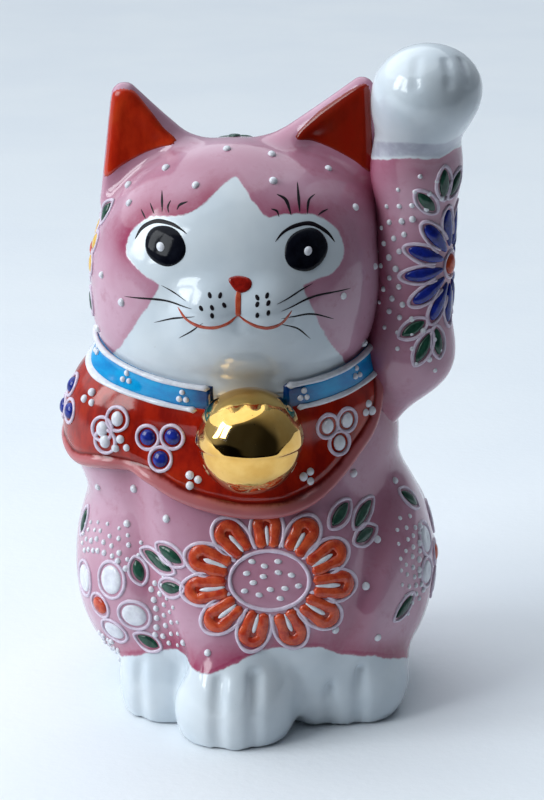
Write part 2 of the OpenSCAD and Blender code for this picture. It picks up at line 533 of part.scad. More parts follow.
scale(size) torso_casting();
scale(size) head_casting();
scale(size) raised_arm_casting();
scale(size) bell();
scale(size) bib_layer();
scale(size) collar_band();
scale(size) collar_piping();
scale(size) collar_dots();
scale(size) bib_berries();
scale(size) bib_blossoms();
scale(size) bib_outlines();
scale(size) bib_dots();
scale(size) eye_discs();
scale(size) eye_highlights();
scale(size) nose_pad();
scale(size) ear_linings();
scale(size) belly_petals_orange();
scale(size) belly_strokes_white();
scale(size) belly_outlines();
scale(size) belly_ring();
scale(size) belly_dots();
scale(size) belly_leaves();
scale(size) belly_leaf_outlines();
scale(size) right_haunch_blossoms();
scale(size) right_haunch_centre();
scale(size) right_haunch_leaves();
scale(size) right_haunch_outlines();
scale(size) left_haunch_blossoms();
scale(size) left_haunch_centre();
scale(size) left_haunch_leaves();
scale(size) left_haunch_outlines();
scale(size) haunch_dots();
scale(size) body_dots();
scale(size) head_dots();
scale(size) arm_petals_blue();
scale(size) arm_centre();
scale(size) arm_leaves();
scale(size) arm_outlines();
scale(size) arm_dots();
scale(size) temple_petals();
scale(size) temple_centre();
scale(size) temple_leaves();
scale(size) temple_outlines();
scale(size) crown_leaves();
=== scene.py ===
"""Beckoning cat figurine: glazed castings, raised enamel and gilt bell round the CAD frame.

Lengths here are millimetres in the frame's axes (front faces -Y, up is +Z), written for a cat
TALL mm high and scaled by MM, which comes from the frame. Every surface piece is seated on the
same blended forms as the castings.
"""
import math

import bmesh
import bpy
import numpy as np
import openvdb as vdb
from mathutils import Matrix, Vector


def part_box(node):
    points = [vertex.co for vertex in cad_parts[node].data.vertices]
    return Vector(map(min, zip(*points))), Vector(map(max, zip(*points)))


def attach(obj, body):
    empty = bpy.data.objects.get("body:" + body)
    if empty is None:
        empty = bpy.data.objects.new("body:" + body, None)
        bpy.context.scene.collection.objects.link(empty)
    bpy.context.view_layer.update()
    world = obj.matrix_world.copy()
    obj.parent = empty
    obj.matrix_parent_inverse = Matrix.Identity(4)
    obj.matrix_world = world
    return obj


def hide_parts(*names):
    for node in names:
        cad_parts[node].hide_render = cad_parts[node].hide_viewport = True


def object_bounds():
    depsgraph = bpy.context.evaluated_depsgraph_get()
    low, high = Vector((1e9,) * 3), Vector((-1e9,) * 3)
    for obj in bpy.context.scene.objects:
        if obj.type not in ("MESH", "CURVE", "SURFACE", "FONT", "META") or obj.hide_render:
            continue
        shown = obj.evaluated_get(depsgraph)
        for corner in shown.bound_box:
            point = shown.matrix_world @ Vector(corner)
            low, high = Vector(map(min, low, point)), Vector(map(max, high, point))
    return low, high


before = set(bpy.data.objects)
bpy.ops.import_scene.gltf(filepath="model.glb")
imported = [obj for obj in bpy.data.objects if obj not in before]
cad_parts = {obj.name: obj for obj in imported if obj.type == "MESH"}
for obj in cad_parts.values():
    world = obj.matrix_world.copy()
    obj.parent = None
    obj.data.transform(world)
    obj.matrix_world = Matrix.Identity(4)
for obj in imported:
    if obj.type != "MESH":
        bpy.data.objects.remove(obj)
cad_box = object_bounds()

TALL = 125.06  # the figure's height, in the units of the values below
MM = (cad_box[1].z - cad_box[0].z) / TALL
WALL = 3.5
BASE_T = 4.4  # clay under the hollow
BASE_ROUND = 1.2
VENT_R, VENT_TOP, VENT_AT = 5.0, 9, (-2.0, 8.0)
ARM_SUNK = 1.2  # how far the arm is luted into the body
BELL_D = (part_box("bell")[1].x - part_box("bell")[0].x) / MM
rng = np.random.default_rng(7)

# ---- blended forms ----
# A ball has a centre and three radii, a limb two ends and their radii. The last number is how far
# the form blends into those above it.
BODY = [
    ("ball", (-3, 2, 50), (29, 21.5, 28), 1),               # chest and back
    ("ball", (-1, 1, 26), (27.5, 25, 27), 8),               # belly
    ("ball", (-20.8, 4, 24.4), (13.8, 22, 20.6), 6),        # right haunch
    ("ball", (20.3, 4, 24.2), (13, 22, 20.8), 5),           # left haunch
    ("ball", (-23.8, -2, 53.5), (10.5, 12, 12), 7),         # right shoulder
    ("limb", (-13, -11, 44), (-5, -20, 12), 8.5, 8.5, 7),   # planted foreleg
    ("ball", (8, -16, 22), (15, 9.5, 18), 7),               # lap
    ("ball", (-4.4, -21.7, 6), (11.4, 10.8, 11.8), 3.5),    # front paw
    ("ball", (-17, -11.2, 6), (9, 9.5, 11.5), 3),           # right hind paw
    ("limb", (11, -11.5, 6.5), (17, -11, 6.5), 11, 11, 4),  # left hind paw
    ("limb", (1, 24.5, 13), (9, 25.5, 25), 4, 3.2, 3),      # short tail
    ("ball", (-1, 4, 6), (24, 20, 10), 5),                  # foot
    ("ball", (-3.6, 0, 66), (23.4, 21, 11), 7),             # neck
]
SKULL = [
    ("ball", (-4, -2, 86.5), (24.3, 20.5, 19.6), 1.5),      # crown
    ("ball", (-4.2, -3, 80), (24.8, 20, 16), 8),            # cheeks
    ("ball", (-4.5, -2.5, 72.5), (24.4, 19.5, 12), 6),      # jowls
    ("ball", (-3.3, -20, 78.5), (10.5, 6, 7.5), 5),         # muzzle
    ("ball", (-8.2, -22.3, 81.2), (5, 4.4, 4), 3),          # whisker puffs
    ("ball", (1, -22.3, 81.2), (5, 4.4, 4), 3),
    ("ball", (8.6, -0.5, 92.5), (12, 13, 9), 5),            # under the left ear
]
EARS = [  # three corners, how thick each is, and which way is outward
    (((-24, -1, 113.9), (-25.5, 0, 95), (-11.5, 1, 100.4)), (2.2, 3, 3.4), -1),
    (((18.4, -1, 115), (18.2, 0, 95), (4, 1, 103)), (2, 3, 3.2), 1),
]
ARM = [
    ("limb", (19, 0, 55), (27.2, -2, 67), 6.5, 7.2, 1),         # elbow
    ("limb", (27.2, -2, 67), (28.2, -3.5, 101), 7.6, 7, 5),     # forearm
    ("limb", (28, -3.5, 101), (28, -6.5, 111), 7.4, 7.7, 4),    # wrist
    ("ball", (29.5, -11.4, 117), (9.4, 9.6, 8), 6),             # curled paw
]
# Soft grooves pressed in the clay: path, half width, depth. The first five part the toes.
BODY_GROOVES = [
    ([(-7.4, -31.4, 0), (-7.5, -32.4, 7), (-7, -29.5, 13)], 1.3, 1.15),
    ([(-0.9, -31.2, 0), (-0.8, -32.2, 7), (-0.8, -29, 13.5)], 1.3, 1.15),
    ([(12.6, -20.8, 0), (12.8, -22.8, 6), (12.4, -21, 12)], 1.3, 1.0),
    ([(18.4, -20.2, 0), (18.6, -22.2, 6), (18, -20.4, 12)], 1.3, 1.0),
    ([(-21.8, -18, 0), (-22, -19.2, 6), (-21.8, -17.6, 11)], 1.3, 0.9),
    ([(6.6, -19.5, 0), (6.8, -20.5, 7), (5.8, -23, 12.5)], 2.2, 1.0),
    ([(-14.4, -21.6, 0), (-14.6, -21.8, 6), (-14.2, -21.6, 12)], 1.9, 1.0),
    ([(-23.8, -16.2, 47), (-21.4, -19, 32), (-17.2, -21.8, 19.5), (-14.5, -23, 13)], 2.8, 1.5),
    ([(23.5, -11.6, 41), (20.3, -21, 31), (17.8, -24, 24.5), (15, -24.6, 17)], 3.0, 1.5),
]
ARM_GROOVES = [
    ([(32.2, -17.4, 123.6), (32.7, -19.8, 121.6), (32.6, -20.6, 119.8)], 0.8, 1.1),
    ([(26.8, -17.4, 123.8), (26.4, -20, 121.4), (26.4, -20.8, 119.6)], 0.9, 0.8),
    ([(35, -15, 123), (35.8, -17.4, 121), (36, -18.2, 119.6)], 0.7, 0.9),
]
HEAD_GROOVES = [
    ([(-3.6, -26.8, 85.2), (-3.6, -27.6, 81), (-3.6, -27.4, 78)], 0.9, 0.35),
    ([(-3.6, -27.4, 80), (-8, -27, 77.6), (-12.5, -25.2, 78.6)], 0.9, 0.3),
    ([(-3.6, -27.4, 80), (1.5, -27, 77.4), (5.4, -25.2, 79.6)], 0.9, 0.3),
]


def total(terms):
    out = 0
    for t in terms:
        out = out + t
    return out


def ball(p, c, r):
    u = [(a - b) / s for a, b, s in zip(p, c, r)]
    k = np.sqrt(total(v * v for v in u))
    return k * (k - 1) / (np.sqrt(total((v / s) ** 2 for v, s in zip(u, r))) + 1e-6)


def dot(p, v):
    return p[0] * v[0] + p[1] * v[1] + p[2] * v[2]


def off_segment(p, a, b):
    s = np.subtract(b, a).astype(float)
    q = [v - w for v, w in zip(p, a)]
    t = np.clip(dot(q, s) / (s @ s), 0, 1)
    return np.sqrt(total((v - t * w) ** 2 for v, w in zip(q, s))), t


def limb(p, a, b, ra, rb):
    d, t = off_segment(p, a, b)
    return d - ra - (rb - ra) * t


def web(p, corners, r):
    """A soft triangle that is r thick at each corner."""
    a, b, c = (np.array(v, float) for v in corners)
    ab, bc, ca = b - a, c - b, a - c
    n = np.cross(ab, ca)
    pa, pb, pc = ([v - w for v, w in zip(p, k)] for k in (a, b, c))
    inside = (np.sign(dot(pa, np.cross(ab, n))) + np.sign(dot(pb, np.cross(bc, n)))
              + np.sign(dot(pc, np.cross(ca, n))))
    edges = np.minimum(np.minimum(off_segment(p, a, b)[0], off_segment(p, b, c)[0]),
                       off_segment(p, c, a)[0])
    d = np.where(inside < 2, edges, np.abs(dot(pa, n)) / np.sqrt(n @ n))
    v0, v1 = ab, -ca
    k = (v0 @ v0) * (v1 @ v1) - (v0 @ v1) ** 2
    v = np.maximum(0, np.minimum(1, ((v1 @ v1) * dot(pa, v0) - (v0 @ v1) * dot(pa, v1)) / k))
    w = np.maximum(0, np.minimum(1, ((v0 @ v0) * dot(pa, v1) - (v0 @ v1) * dot(pa, v0)) / k))
    s = np.clip(1 - v - w, 0, 1)
    return d - (s * r[0] + v * r[1] + w * r[2]) / (s + v + w)


def mix(a, b, k):
    h = np.maximum(k - np.abs(a - b), 0)
    return np.minimum(a, b) - h * h / (4 * k)


def carve(a, b, k):
    """a with b taken away, the edge rounded over k."""
    return -mix(-a, b, k)


FORMS = {"ball": ball, "limb": limb}


def field(p, forms):
    d = None
    for name, *sizes, k in forms:
        f = FORMS[name](p, *sizes)
        d = f if d is None else mix(d, f, k)
    return d


def grooves(p, lines):
    out = 0
    for path, width, depth in lines:
        d = None
        for a, b in zip(path, path[1:]):
            e = off_segment(p, a, b)[0]
            d = e if d is None else np.minimum(d, e)
        out = out + depth * np.exp(-(d / width) ** 2)
    return out


def hand(p, size, amount):
    """The slow unevenness of a slip casting."""
    x, y, z = (v / size for v in p)
    return amount * (np.sin(x + 1.3 * z + 1) * np.sin(y * 1.2 + 0.7 * z)
                     + np.sin(1.7 * z - x + 2) * np.cos(y + x))


def off_body(p):
    return field(p, BODY) + grooves(p, BODY_GROOVES) + hand(p, 7, 0.09)


def off_ear(p, corners, radii, way):
    """An ear with a shallow hollow in its front, nearer its outer edge."""
    mid = np.mean(corners, axis=0)
    shift = np.array([1.6 * way, -5.7, -0.4])
    inner = [tuple(mid + 0.72 * (np.array(c) - mid) + shift) for c in corners]
    return carve(web(p, corners, radii), web(p, inner, (2.4, 3.2, 3.4)), 1.6)


def off_head(p):
    ears = np.minimum(off_ear(p, *EARS[0]), off_ear(p, *EARS[1]))
    return mix(field(p, SKULL) + grooves(p, HEAD_GROOVES), ears, 3.6) + hand(p, 6, 0.07)


def off_arm(p):
    return field(p, ARM) + grooves(p, ARM_GROOVES) + hand(p, 5, 0.07)


def off_figure(p):
    return mix(off_body(p), off_head(p), 1.5)


def seam_z(y):
    """Where head and torso meet, dipping behind the bell."""
    dip = np.clip((-20.3 - y) / 1.8, 0, 1)
    return 67.4 + 0.16 * y - 4.2 * dip * dip * (3 - 2 * dip)


def torso_shell(p):
    out = off_figure(p)
    d = carve(out, p[2] + 0 * out, BASE_ROUND)
    cavity = np.maximum(out + WALL, BASE_T - p[2])
    vent = np.maximum(np.hypot(p[0] - VENT_AT[0], p[1] - VENT_AT[1]) - VENT_R, p[2] - VENT_TOP)
    d = np.maximum(d, -np.minimum(cavity, vent))
    return np.maximum(d, p[2] - seam_z(p[1]))


def head_shell(p):
    out = off_figure(p)
    return np.maximum(np.maximum(out, -(out + WALL)), seam_z(p[1]) - p[2])


def arm_solid(p):
    return np.maximum(off_arm(p), -(off_figure(p) + ARM_SUNK))


# ---- seats on the glaze ----
# A spot is an angle in degrees round the body, arm or head from the front, then a height in mm, or
# on the head an angle above its middle.
SURFACE = {"body": off_figure, "head": off_figure, "arm": off_arm}
# An axis or middle, and a distance from it that is clear of the clay.
BODY_AXIS, BODY_FAR = (-2.0, 2.0), 30
ARM_AXIS, ARM_FAR = (28.0, -3.0), 9
HEAD_MID, HEAD_FAR = np.array([-4.0, -2.0, 84.0]), 27
DEG_BODY, DEG_HEAD, DEG_ARM = (r * math.pi / 180 for r in (28, 27, 7.6))  # mm in one degree
STEPS, FACE_STEPS, SEAT_STEPS = 9, 14, 4  # rounds of settling on to the surface


def value(points, where):
    return SURFACE[where](points.T)


def slope(points, where, e=0.06):
    g = np.stack([value(points + d, where) - value(points - d, where) for d in np.eye(3) * e], -1)
    return g / (np.linalg.norm(g, axis=-1, keepdims=True) + 1e-12)


def settle(points, along, where, lift=0.0, n=5):
    for _ in range(n):
        points = points - along * (value(points, where) - lift)[:, None]
    return points


def turned(turn):
    t = np.radians(turn)
    return np.stack([np.sin(t), -np.cos(t), 0 * t], -1)


def on_body(turn, z, lift=0.0, where="body"):
    """Points at an angle round the body from the front and a height."""
    turn, z, lift = np.broadcast_arrays(np.asarray(turn, float), z, lift)
    axis, far = (ARM_AXIS, ARM_FAR) if where == "arm" else (BODY_AXIS, BODY_FAR)
    d = turned(turn)
    c = np.stack([0 * z + axis[0], 0 * z + axis[1], z], -1)
    return settle((c + d * far).reshape(-1, 3), d.reshape(-1, 3), where, lift.ravel(), STEPS)


def on_head(turn, rise):
    t, r = np.radians(np.atleast_1d(turn)), np.radians(np.atleast_1d(rise))
    d = np.stack([np.sin(t) * np.cos(r), -np.cos(t) * np.cos(r), np.sin(r)], -1)
    return settle(HEAD_MID + d * HEAD_FAR, d, "head", 0, STEPS)


class Seat:
    """A point on the glaze with its outward, level and upward directions."""

    def __init__(self, point, where, lift=0.0):
        self.where, self.lift, self.steps = where, lift, SEAT_STEPS
        self.n = slope(point[None], where)[0]
        self.p = point + self.n * lift
        u = np.cross((0, 0, 1), self.n)
        self.u = u / np.linalg.norm(u)
        self.v = np.cross(self.n, self.u)

    def at(self, a, b):
        """The seat a across and b up from this one."""
        base = self.p + a * self.u + b * self.v
        return Seat(settle(base[None], self.n[None], self.where)[0], self.where)


def seat(spot, where="body", lift=0.0):
    if where == "head":
        return Seat(on_head(spot[0], spot[1])[0], where, lift)
    return Seat(on_body(spot[0], spot[1], 0.0, where)[0], where, lift)


def front_seat():
    """The plane before the face: marks drawn on it are carried straight back on to the head."""
    s = Seat.__new__(Seat)
    s.where, s.lift, s.steps = "head", 0.0, FACE_STEPS
    s.p, s.n = np.array([0.0, -31.0, 0.0]), np.array([0.0, -1.0, 0.0])
    s.u, s.v = np.array([1.0, 0.0, 0.0]), np.array([0.0, 0.0, 1.0])
    return s


def moved(spot, a, b, where):
    """The spot a mm across and b mm up from another."""
    deg = {"arm": DEG_ARM, "head": DEG_HEAD, "body": DEG_BODY}[where]
    return (spot[0] + a / deg, spot[1] + (b / deg if where == "head" else b))


def polar(turn, across, up=None):
    """The point at an angle in degrees round a circle, or an ellipse."""
    a = math.radians(turn)
    return across * math.cos(a), (across if up is None else up) * math.sin(a)


def spun(q, t):
    """Points turned by t degrees."""
    c, s = math.cos(math.radians(t)), math.sin(math.radians(t))
    q = np.atleast_2d(q)
    return np.stack([q[:, 0] * c - q[:, 1] * s, q[:, 0] * s + q[:, 1] * c], -1)


# ---- outlines and paths ----
def oval(long, wide, n=20):
    a = np.linspace(0, 2 * np.pi, n, endpoint=False)
    return np.stack([wide / 2 * np.sin(a), -long / 2 * np.cos(a)], -1)


def egg(long, wide, t, n=22):
    """Broad end up, turned by t."""
    a = np.linspace(0, 2 * np.pi, n, endpoint=False) - np.pi / 2
    x = wide / 2 * np.cos(a) * (1 + 0.28 * np.sin(a))
    return spun(np.stack([x, long / 2 * np.sin(a)], -1), t)


def leaf(long, wide, t, n=22):
    a = np.linspace(0, 2 * np.pi, n, endpoint=False) - np.pi / 2
    x = wide / 2 * np.sign(np.cos(a)) * np.abs(np.cos(a)) ** 1.4
    return spun(np.stack([x, long / 2 * np.sin(a)], -1), t)


def shoe(long, wide, t, droop=62, n=17):
    """An oval left open at its lower end."""
    a = np.radians(np.linspace(-droop, 180 + droop, n))
    return spun(np.stack([wide / 2 * np.cos(a), long / 2 * np.sin(a)], -1), t)


def curve(points, n=40, closed=False):
    """A smooth path through points, evenly spaced."""
    p = np.array(points, float)
    if len(p) == 2 and not closed:
        fine = np.linspace(p[0], p[1], 12)
    else:
        ends = (p[-1], p[:2]) if closed else (2 * p[0] - p[1], 2 * p[-1] - p[-2])
        q = np.vstack([ends[0], p, ends[1]])
        t = np.linspace(0, 1, 16, endpoint=False)[:, None]
        fine = []
        for a, b, c, d in zip(q, q[1:], q[2:], q[3:]):
            fine.append(0.5 * (2 * b + (c - a) * t + (2 * a - 5 * b + 4 * c - d) * t ** 2
                               + (3 * b - a - 3 * c + d) * t ** 3))
        fine = np.vstack(fine + ([] if closed else [p[-1:]]))
    ring = np.vstack([fine, fine[:1]]) if closed else fine
    s = np.r_[0, np.cumsum(np.linalg.norm(np.diff(ring, axis=0), axis=1))]
    at = np.linspace(0, s[-1], n, endpoint=not closed)
    return np.stack([np.interp(at, s, ring[:, i]) for i in range(ring.shape[1])], -1)


# ---- meshes ----
DOME_RINGS = [1, 1, 0.96, 0.89, 0.78, 0.62, 0.42, 0.2]  # share of the outline, the first one sunk
DOME_SUNK, LINE_SUNK = 0.25, 0.2
LINE_SIDES = 9
FIELD_REACH = 3.0  # how far from the surface a distance field is kept
SKIN = 0.35  # points this near the outer surface are brought on to it


def net(rows, cols, wrap=False, loop=False, first=0):
    """Quads over rows of points. wrap joins the last row to the first, loop the ends of a row."""
    def at(j, i):
        return first + j % rows * cols + i % cols
    return [(at(j, i), at(j, i + 1), at(j + 1, i + 1), at(j + 1, i))
            for j in range(rows if wrap else rows - 1) for i in range(cols if loop else cols - 1)]


def fan(first, n, tip):
    """Triangles from a loop of n points to its tip."""
    return [(first + i, first + (i + 1) % n, tip) for i in range(n)]


def two_sided(faces, rims, off):
    """A sheet's faces, its underside over the points that follow by off, and walls at its rims."""
    faces = faces + [tuple(off + i for i in f[::-1]) for f in faces]
    for rim in rims:
        faces += [(b, a, off + a, off + b) for a, b in zip(rim, rim[1:] + rim[:1])]
    return faces


def linked(o):
    bpy.context.scene.collection.objects.link(o)
    return o


def mesh_object(name, points, faces, material):
    mesh = bpy.data.meshes.new(name)
    mesh.from_pydata(np.asarray(points) * MM, [], faces)
    mesh.update()
    mesh.materials.append(material)
    return linked(bpy.data.objects.new(name, mesh))


def new_piece(name, points, faces, coat, replaces=()):
    """A piece of the figure. Its coat is a material and the slot that it belongs to; the slot is
    not used.
    """
    material, slot = coat
    o = mesh_object(name, points, faces, material)
    o.data.shade_smooth()
    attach(o, "root")
    if replaces:
        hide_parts(*replaces)
    return o


def outward(o):
    """Turns every face of a closed piece outwards."""
    bm = bmesh.new()
    bm.from_mesh(o.data)
    bmesh.ops.recalc_face_normals(bm, faces=bm.faces)
    bm.to_mesh(o.data)
    bm.free()
    return o


def sheet(name, top, low, shape, coat, node):
    """A closed piece from its upper and lower points, in rows and columns."""
    index = np.arange(len(top)).reshape(shape)
    rim = [index[0, :-1], index[:-1, -1], index[-1, :0:-1], index[:0:-1, 0]]
    faces = two_sided(net(*shape), [np.concatenate(rim).tolist()], len(top))
    return outward(new_piece(name, np.vstack([top, low]), faces, coat, [node]))


def set_values(o, **values):
    for name, v in values.items():
        a = o.data.attributes.new(name, "FLOAT", "POINT")
        a.data.foreach_set("value", np.ascontiguousarray(v, np.float32))


class Enamel:
    """Raised marks gathered on one surface, then laid on it together."""

    def __init__(self):
        self.base, self.along, self.rise, self.faces, self.count = [], [], [], [], 0

    def add(self, s, ab, rise, faces):
        self.where, self.lift, self.steps = s.where, s.lift, s.steps
        self.base.append(s.p + ab[:, :1] * s.u + ab[:, 1:2] * s.v)
        self.along.append(np.repeat(s.n[None], len(ab), 0))
        self.rise.append(rise)
        self.faces += [tuple(i + self.count for i in f) for f in faces]
        self.count += len(ab)
        return self

    def dome(self, s, outline, height, flat=2.6, dip=0.0):
        """A blob of enamel over an outline: flat is how square its shoulder is, dip its hollow."""
        mid, n = outline.mean(0), len(outline)
        ab = np.vstack([mid + (outline - mid) * r for r in DOME_RINGS] + [mid[None]])
        r = np.r_[np.repeat(DOME_RINGS, n), 0]
        rise = height * np.sqrt(np.maximum(0, 1 - r ** flat)) - dip * np.exp(-(r / 0.4) ** 2)
        rise[:n] = -DOME_SUNK
        last = (len(DOME_RINGS) - 1) * n
        sides = net(len(DOME_RINGS), n, loop=True)
        return self.add(s, ab, rise, [tuple(range(n))[::-1]] + sides + fan(last, n, last + n))

    def bead(self, s, d):
        """A round dot, a little uneven."""
        d *= rng.uniform(0.88, 1.12)
        self.dome(s, oval(d * rng.uniform(0.97, 1.12), d, 14), 0.42 * d, 2.0)

    def trail(self, s, path, width, height, closed=False, taper=0.5, ends=1.0, wander=0.07):
        """A half-round line on a path. taper is how far each end narrows, ends its last width."""
        n = len(path)
        step = np.roll(path, -1, 0) - np.roll(path, 1, 0)
        if not closed:
            step[0], step[-1] = path[1] - path[0], path[-1] - path[-2]
        step /= np.linalg.norm(step, axis=1, keepdims=True) + 1e-9
        side = np.stack([-step[:, 1], step[:, 0]], -1)
        run = np.r_[0, np.cumsum(np.linalg.norm(np.diff(path, axis=0), axis=1))]
        k = (1 + wander * np.sin(run * 2.1 + rng.uniform(0, 6))
             + wander * np.sin(run * 0.9 + rng.uniform(0, 6)))
        if not closed:
            from_end = np.minimum(run, run[-1] - run) / max(taper, 1e-3)
            cap = np.sqrt(np.clip(1 - (1 - np.clip(from_end, 0, 1)) ** 2, 0.02, 1))
            k = k * cap * (1 + (ends - 1) * np.exp(-from_end ** 2 / 2))
        a = np.linspace(np.pi, 0, LINE_SIDES)
        half = (width / 2 * k)[:, None]
        ab = path[:, None, :] + side[:, None, :] * (half * np.cos(a))[..., None] * -1
        rise = height * np.sqrt(k)[:, None] * np.sin(a) ** 0.8
        rise = np.where(np.sin(a) < 1e-6, -LINE_SUNK, rise)
        faces = net(n, LINE_SIDES, wrap=closed, loop=True)
        if not closed:
            end = range((n - 1) * LINE_SIDES, n * LINE_SIDES)
            faces += [tuple(range(LINE_SIDES))[::-1], tuple(end)]
        return self.add(s, ab.reshape(-1, 2), rise.ravel(), faces)

    def lay(self, coat, node=None, name=None):
        """Makes the piece, which stands for a node and is named after it unless it has a name."""
        base, along, rise = np.vstack(self.base), np.vstack(self.along), np.concatenate(self.rise)
        p = settle(base, along, self.where, self.lift, self.steps)
        p = p + slope(p, self.where) * rise[:, None]
        return new_piece(name or f"{node}_raised", p, self.faces, coat, [node] if node else ())


def cast(name, fn, surface, lo, hi, step, coat, node):
    """A casting: its field turned into quads, then its outer points brought on to the surface."""
    axes = [np.arange(a, b, step, dtype=np.float32) for a, b in zip(lo, hi)]
    x, y, z = axes[0][:, None, None], axes[1][None, :, None], axes[2][None, None, :]
    shape = (len(axes[0]), len(axes[1]), len(axes[2]))
    values = np.broadcast_to(fn((x, y, z)), shape).astype(np.float32)
    grid = vdb.FloatGrid(FIELD_REACH)
    grid.copyFromArray(np.clip(values, -FIELD_REACH, FIELD_REACH))
    grid.transform = vdb.createLinearTransform(step)
    pts, quads = grid.convertToQuads(isovalue=0.0)
    pts = pts.astype(float) + np.array(lo)
    e = 0.1
    for _ in range(2):
        v = surface(pts.T)
        g = [surface((pts + d).T) - surface((pts - d).T) for d in np.eye(3) * e]
        g = np.stack(g, -1) / (2 * e)
        k = np.where(np.abs(v) < SKIN, v, 0) / np.maximum((g * g).sum(1), 0.2)
        pts = pts - g * k[:, None]
    return outward(new_piece(name, pts, quads[:, ::-1].tolist(), coat, [node])), pts


# ---- materials ----
SOCKETS = {"base": "Base Color", "rough": "Roughness", "metal": "Metallic", "coat": "Coat Weight",
           "coat_rough": "Coat Roughness", "ior": "IOR", "specular": "Specular IOR Level",
           "normal": "Normal"}


class Nodes:
    """Short ways to build the node tree of a material or world."""

    def __init__(self, owner, last="Principled BSDF"):
        owner.use_nodes = True
        self.owner, self.tree = owner, owner.node_tree
        self.last = self.tree.nodes[last]

    def feed(self, socket, value):
        if isinstance(value, bpy.types.NodeSocket):
            self.tree.links.new(value, socket)
        else:
            socket.default_value = value

    def add(self, kind, inputs=None, **props):
        n = self.tree.nodes.new(kind)
        for k, v in props.items():
            setattr(n, k, v)
        for k, v in (inputs or {}).items():
            self.feed(n.inputs[k], v)
        return n

    def math(self, op, a, b=0.0, clamp=False):
        return self.add("ShaderNodeMath", {0: a, 1: b}, operation=op, use_clamp=clamp).outputs[0]

    def noise(self, scale, detail=3.0, rough=0.55, stretch=None):
        """Noise at a scale given as the size in mm of its features."""
        coord = self.add("ShaderNodeTexCoord").outputs["Object"]
        if stretch:
            coord = self.add("ShaderNodeMapping", {"Vector": coord, "Scale": stretch}).outputs[0]
        ins = {"Vector": coord, "Scale": 1 / (scale * MM), "Detail": detail, "Roughness": rough}
        return self.add("ShaderNodeTexNoise", ins).outputs["Fac"]

    def ramp(self, value, lo, hi, to_lo=0.0, to_hi=1.0):
        ins = {"Value": value, "From Min": lo, "From Max": hi, "To Min": to_lo, "To Max": to_hi}
        return self.add("ShaderNodeMapRange", ins, interpolation_type="SMOOTHSTEP").outputs[0]

    def band(self, value, at, width):
        """1 where the value is at, fading to 0 at width from there."""
        off = self.math("ABSOLUTE", self.math("SUBTRACT", value, at))
        return self.math("SUBTRACT", 1.0, self.ramp(off, 0.0, width))

    def shaken(self, value, noise, by):
        return self.math("ADD", value, self.math("MULTIPLY", self.math("SUBTRACT", noise, 0.5), by))

    def blend(self, fac, a, b):
        a, b = ((*v, 1.0) if isinstance(v, tuple) else v for v in (a, b))
        return self.add("ShaderNodeMix", {0: fac, 6: a, 7: b}, data_type="RGBA").outputs[2]

    def attribute(self, name):
        return self.add("ShaderNodeAttribute", attribute_name=name).outputs["Fac"]

    def bump(self, height, strength, distance, under=None):
        ins = {"Height": height, "Strength": strength, "Distance": distance * MM}
        if under is not None:
            ins["Normal"] = under
        return self.add("ShaderNodeBump", ins).outputs[0]

    def put(self, **inputs):
        for k, v in inputs.items():
            self.feed(self.last.inputs[SOCKETS[k]], v)
        return self.owner


def new_material(name):
    return Nodes(bpy.data.materials.new(name))


WHITE, WHITE_COOL = (0.67, 0.725, 0.765), (0.56, 0.63, 0.69)
PINK, PINK_PALE, PINK_DEEP = (0.44, 0.205, 0.285), (0.52, 0.30, 0.39), (0.35, 0.10, 0.16)
# ROSE serves for pooled rose and for painted shade in creases and joins
ROSE = (0.29, 0.03, 0.085)
# the grey is a wash above the paw's pink edge and also painted shade in the toe grooves
GREY_WASH_AND_SHADE, SPECK = (0.36, 0.37, 0.46), (0.33, 0.3, 0.28)


def glaze_body():
    """White glaze, washed with pink where white_mm is above 0, with rose pooled along its edge and
    painted shade in its creases and where parts meet.
    """
    m = new_material("pink_over_white_glaze")
    brushed, fine = m.noise(2.2, 4, 0.6), m.noise(0.5, 2)
    slow, mid = m.noise(14, 3, 0.5), m.noise(3.5, 4, 0.62)
    edge = m.shaken(m.attribute("white_mm"), brushed, 0.9)
    pink_mask = m.ramp(edge, -0.16, 0.2)
    wash = m.blend(m.ramp(slow, 0.35, 0.66), PINK, PINK_PALE)
    wash = m.blend(m.ramp(mid, 0.5, 0.78, 0, 0.45), wash, PINK_DEEP)
    line = m.math("MULTIPLY", m.band(edge, 0.55, 1.15), m.attribute("edge_rose"))
    pool = m.math("MAXIMUM", line, m.attribute("pool"))
    pool = m.math("MULTIPLY", pool, m.ramp(mid, 0.2, 0.6, 0.62, 1.0), clamp=True)
    # rose: pooled rose along the pink's edge, and painted shade in creases and where parts meet
    wash = m.blend(pool, wash, ROSE)
    white = m.blend(m.ramp(slow, 0.3, 0.7), WHITE, WHITE_COOL)
    white = m.blend(m.ramp(m.noise(0.9, 1), 0.79, 0.84, 0, 0.25), white, SPECK)
    # grey: a grey wash above the paw's pink edge, and painted shade in the toe grooves
    grey = m.math("MULTIPLY", m.attribute("grey"), m.ramp(brushed, 0.3, 0.6, 0.6, 1.0), clamp=True)
    white = m.blend(grey, white, GREY_WASH_AND_SHADE)
    rough = m.ramp(m.noise(5, 4), 0.3, 0.75, 0.07, 0.17)
    waves = m.bump(m.noise(6.5, 2), 0.3, 0.4)
    skin = m.bump(m.noise(1.7, 3), 0.16, 0.12, waves)
    step = m.bump(pink_mask, 0.35, 0.08, skin)
    orange_peel = m.bump(fine, 0.06, 0.05, step)
    return m.put(base=m.blend(pink_mask, white, wash), rough=rough, coat=0.15, coat_rough=0.03,
                 ior=1.5, normal=orange_peel)


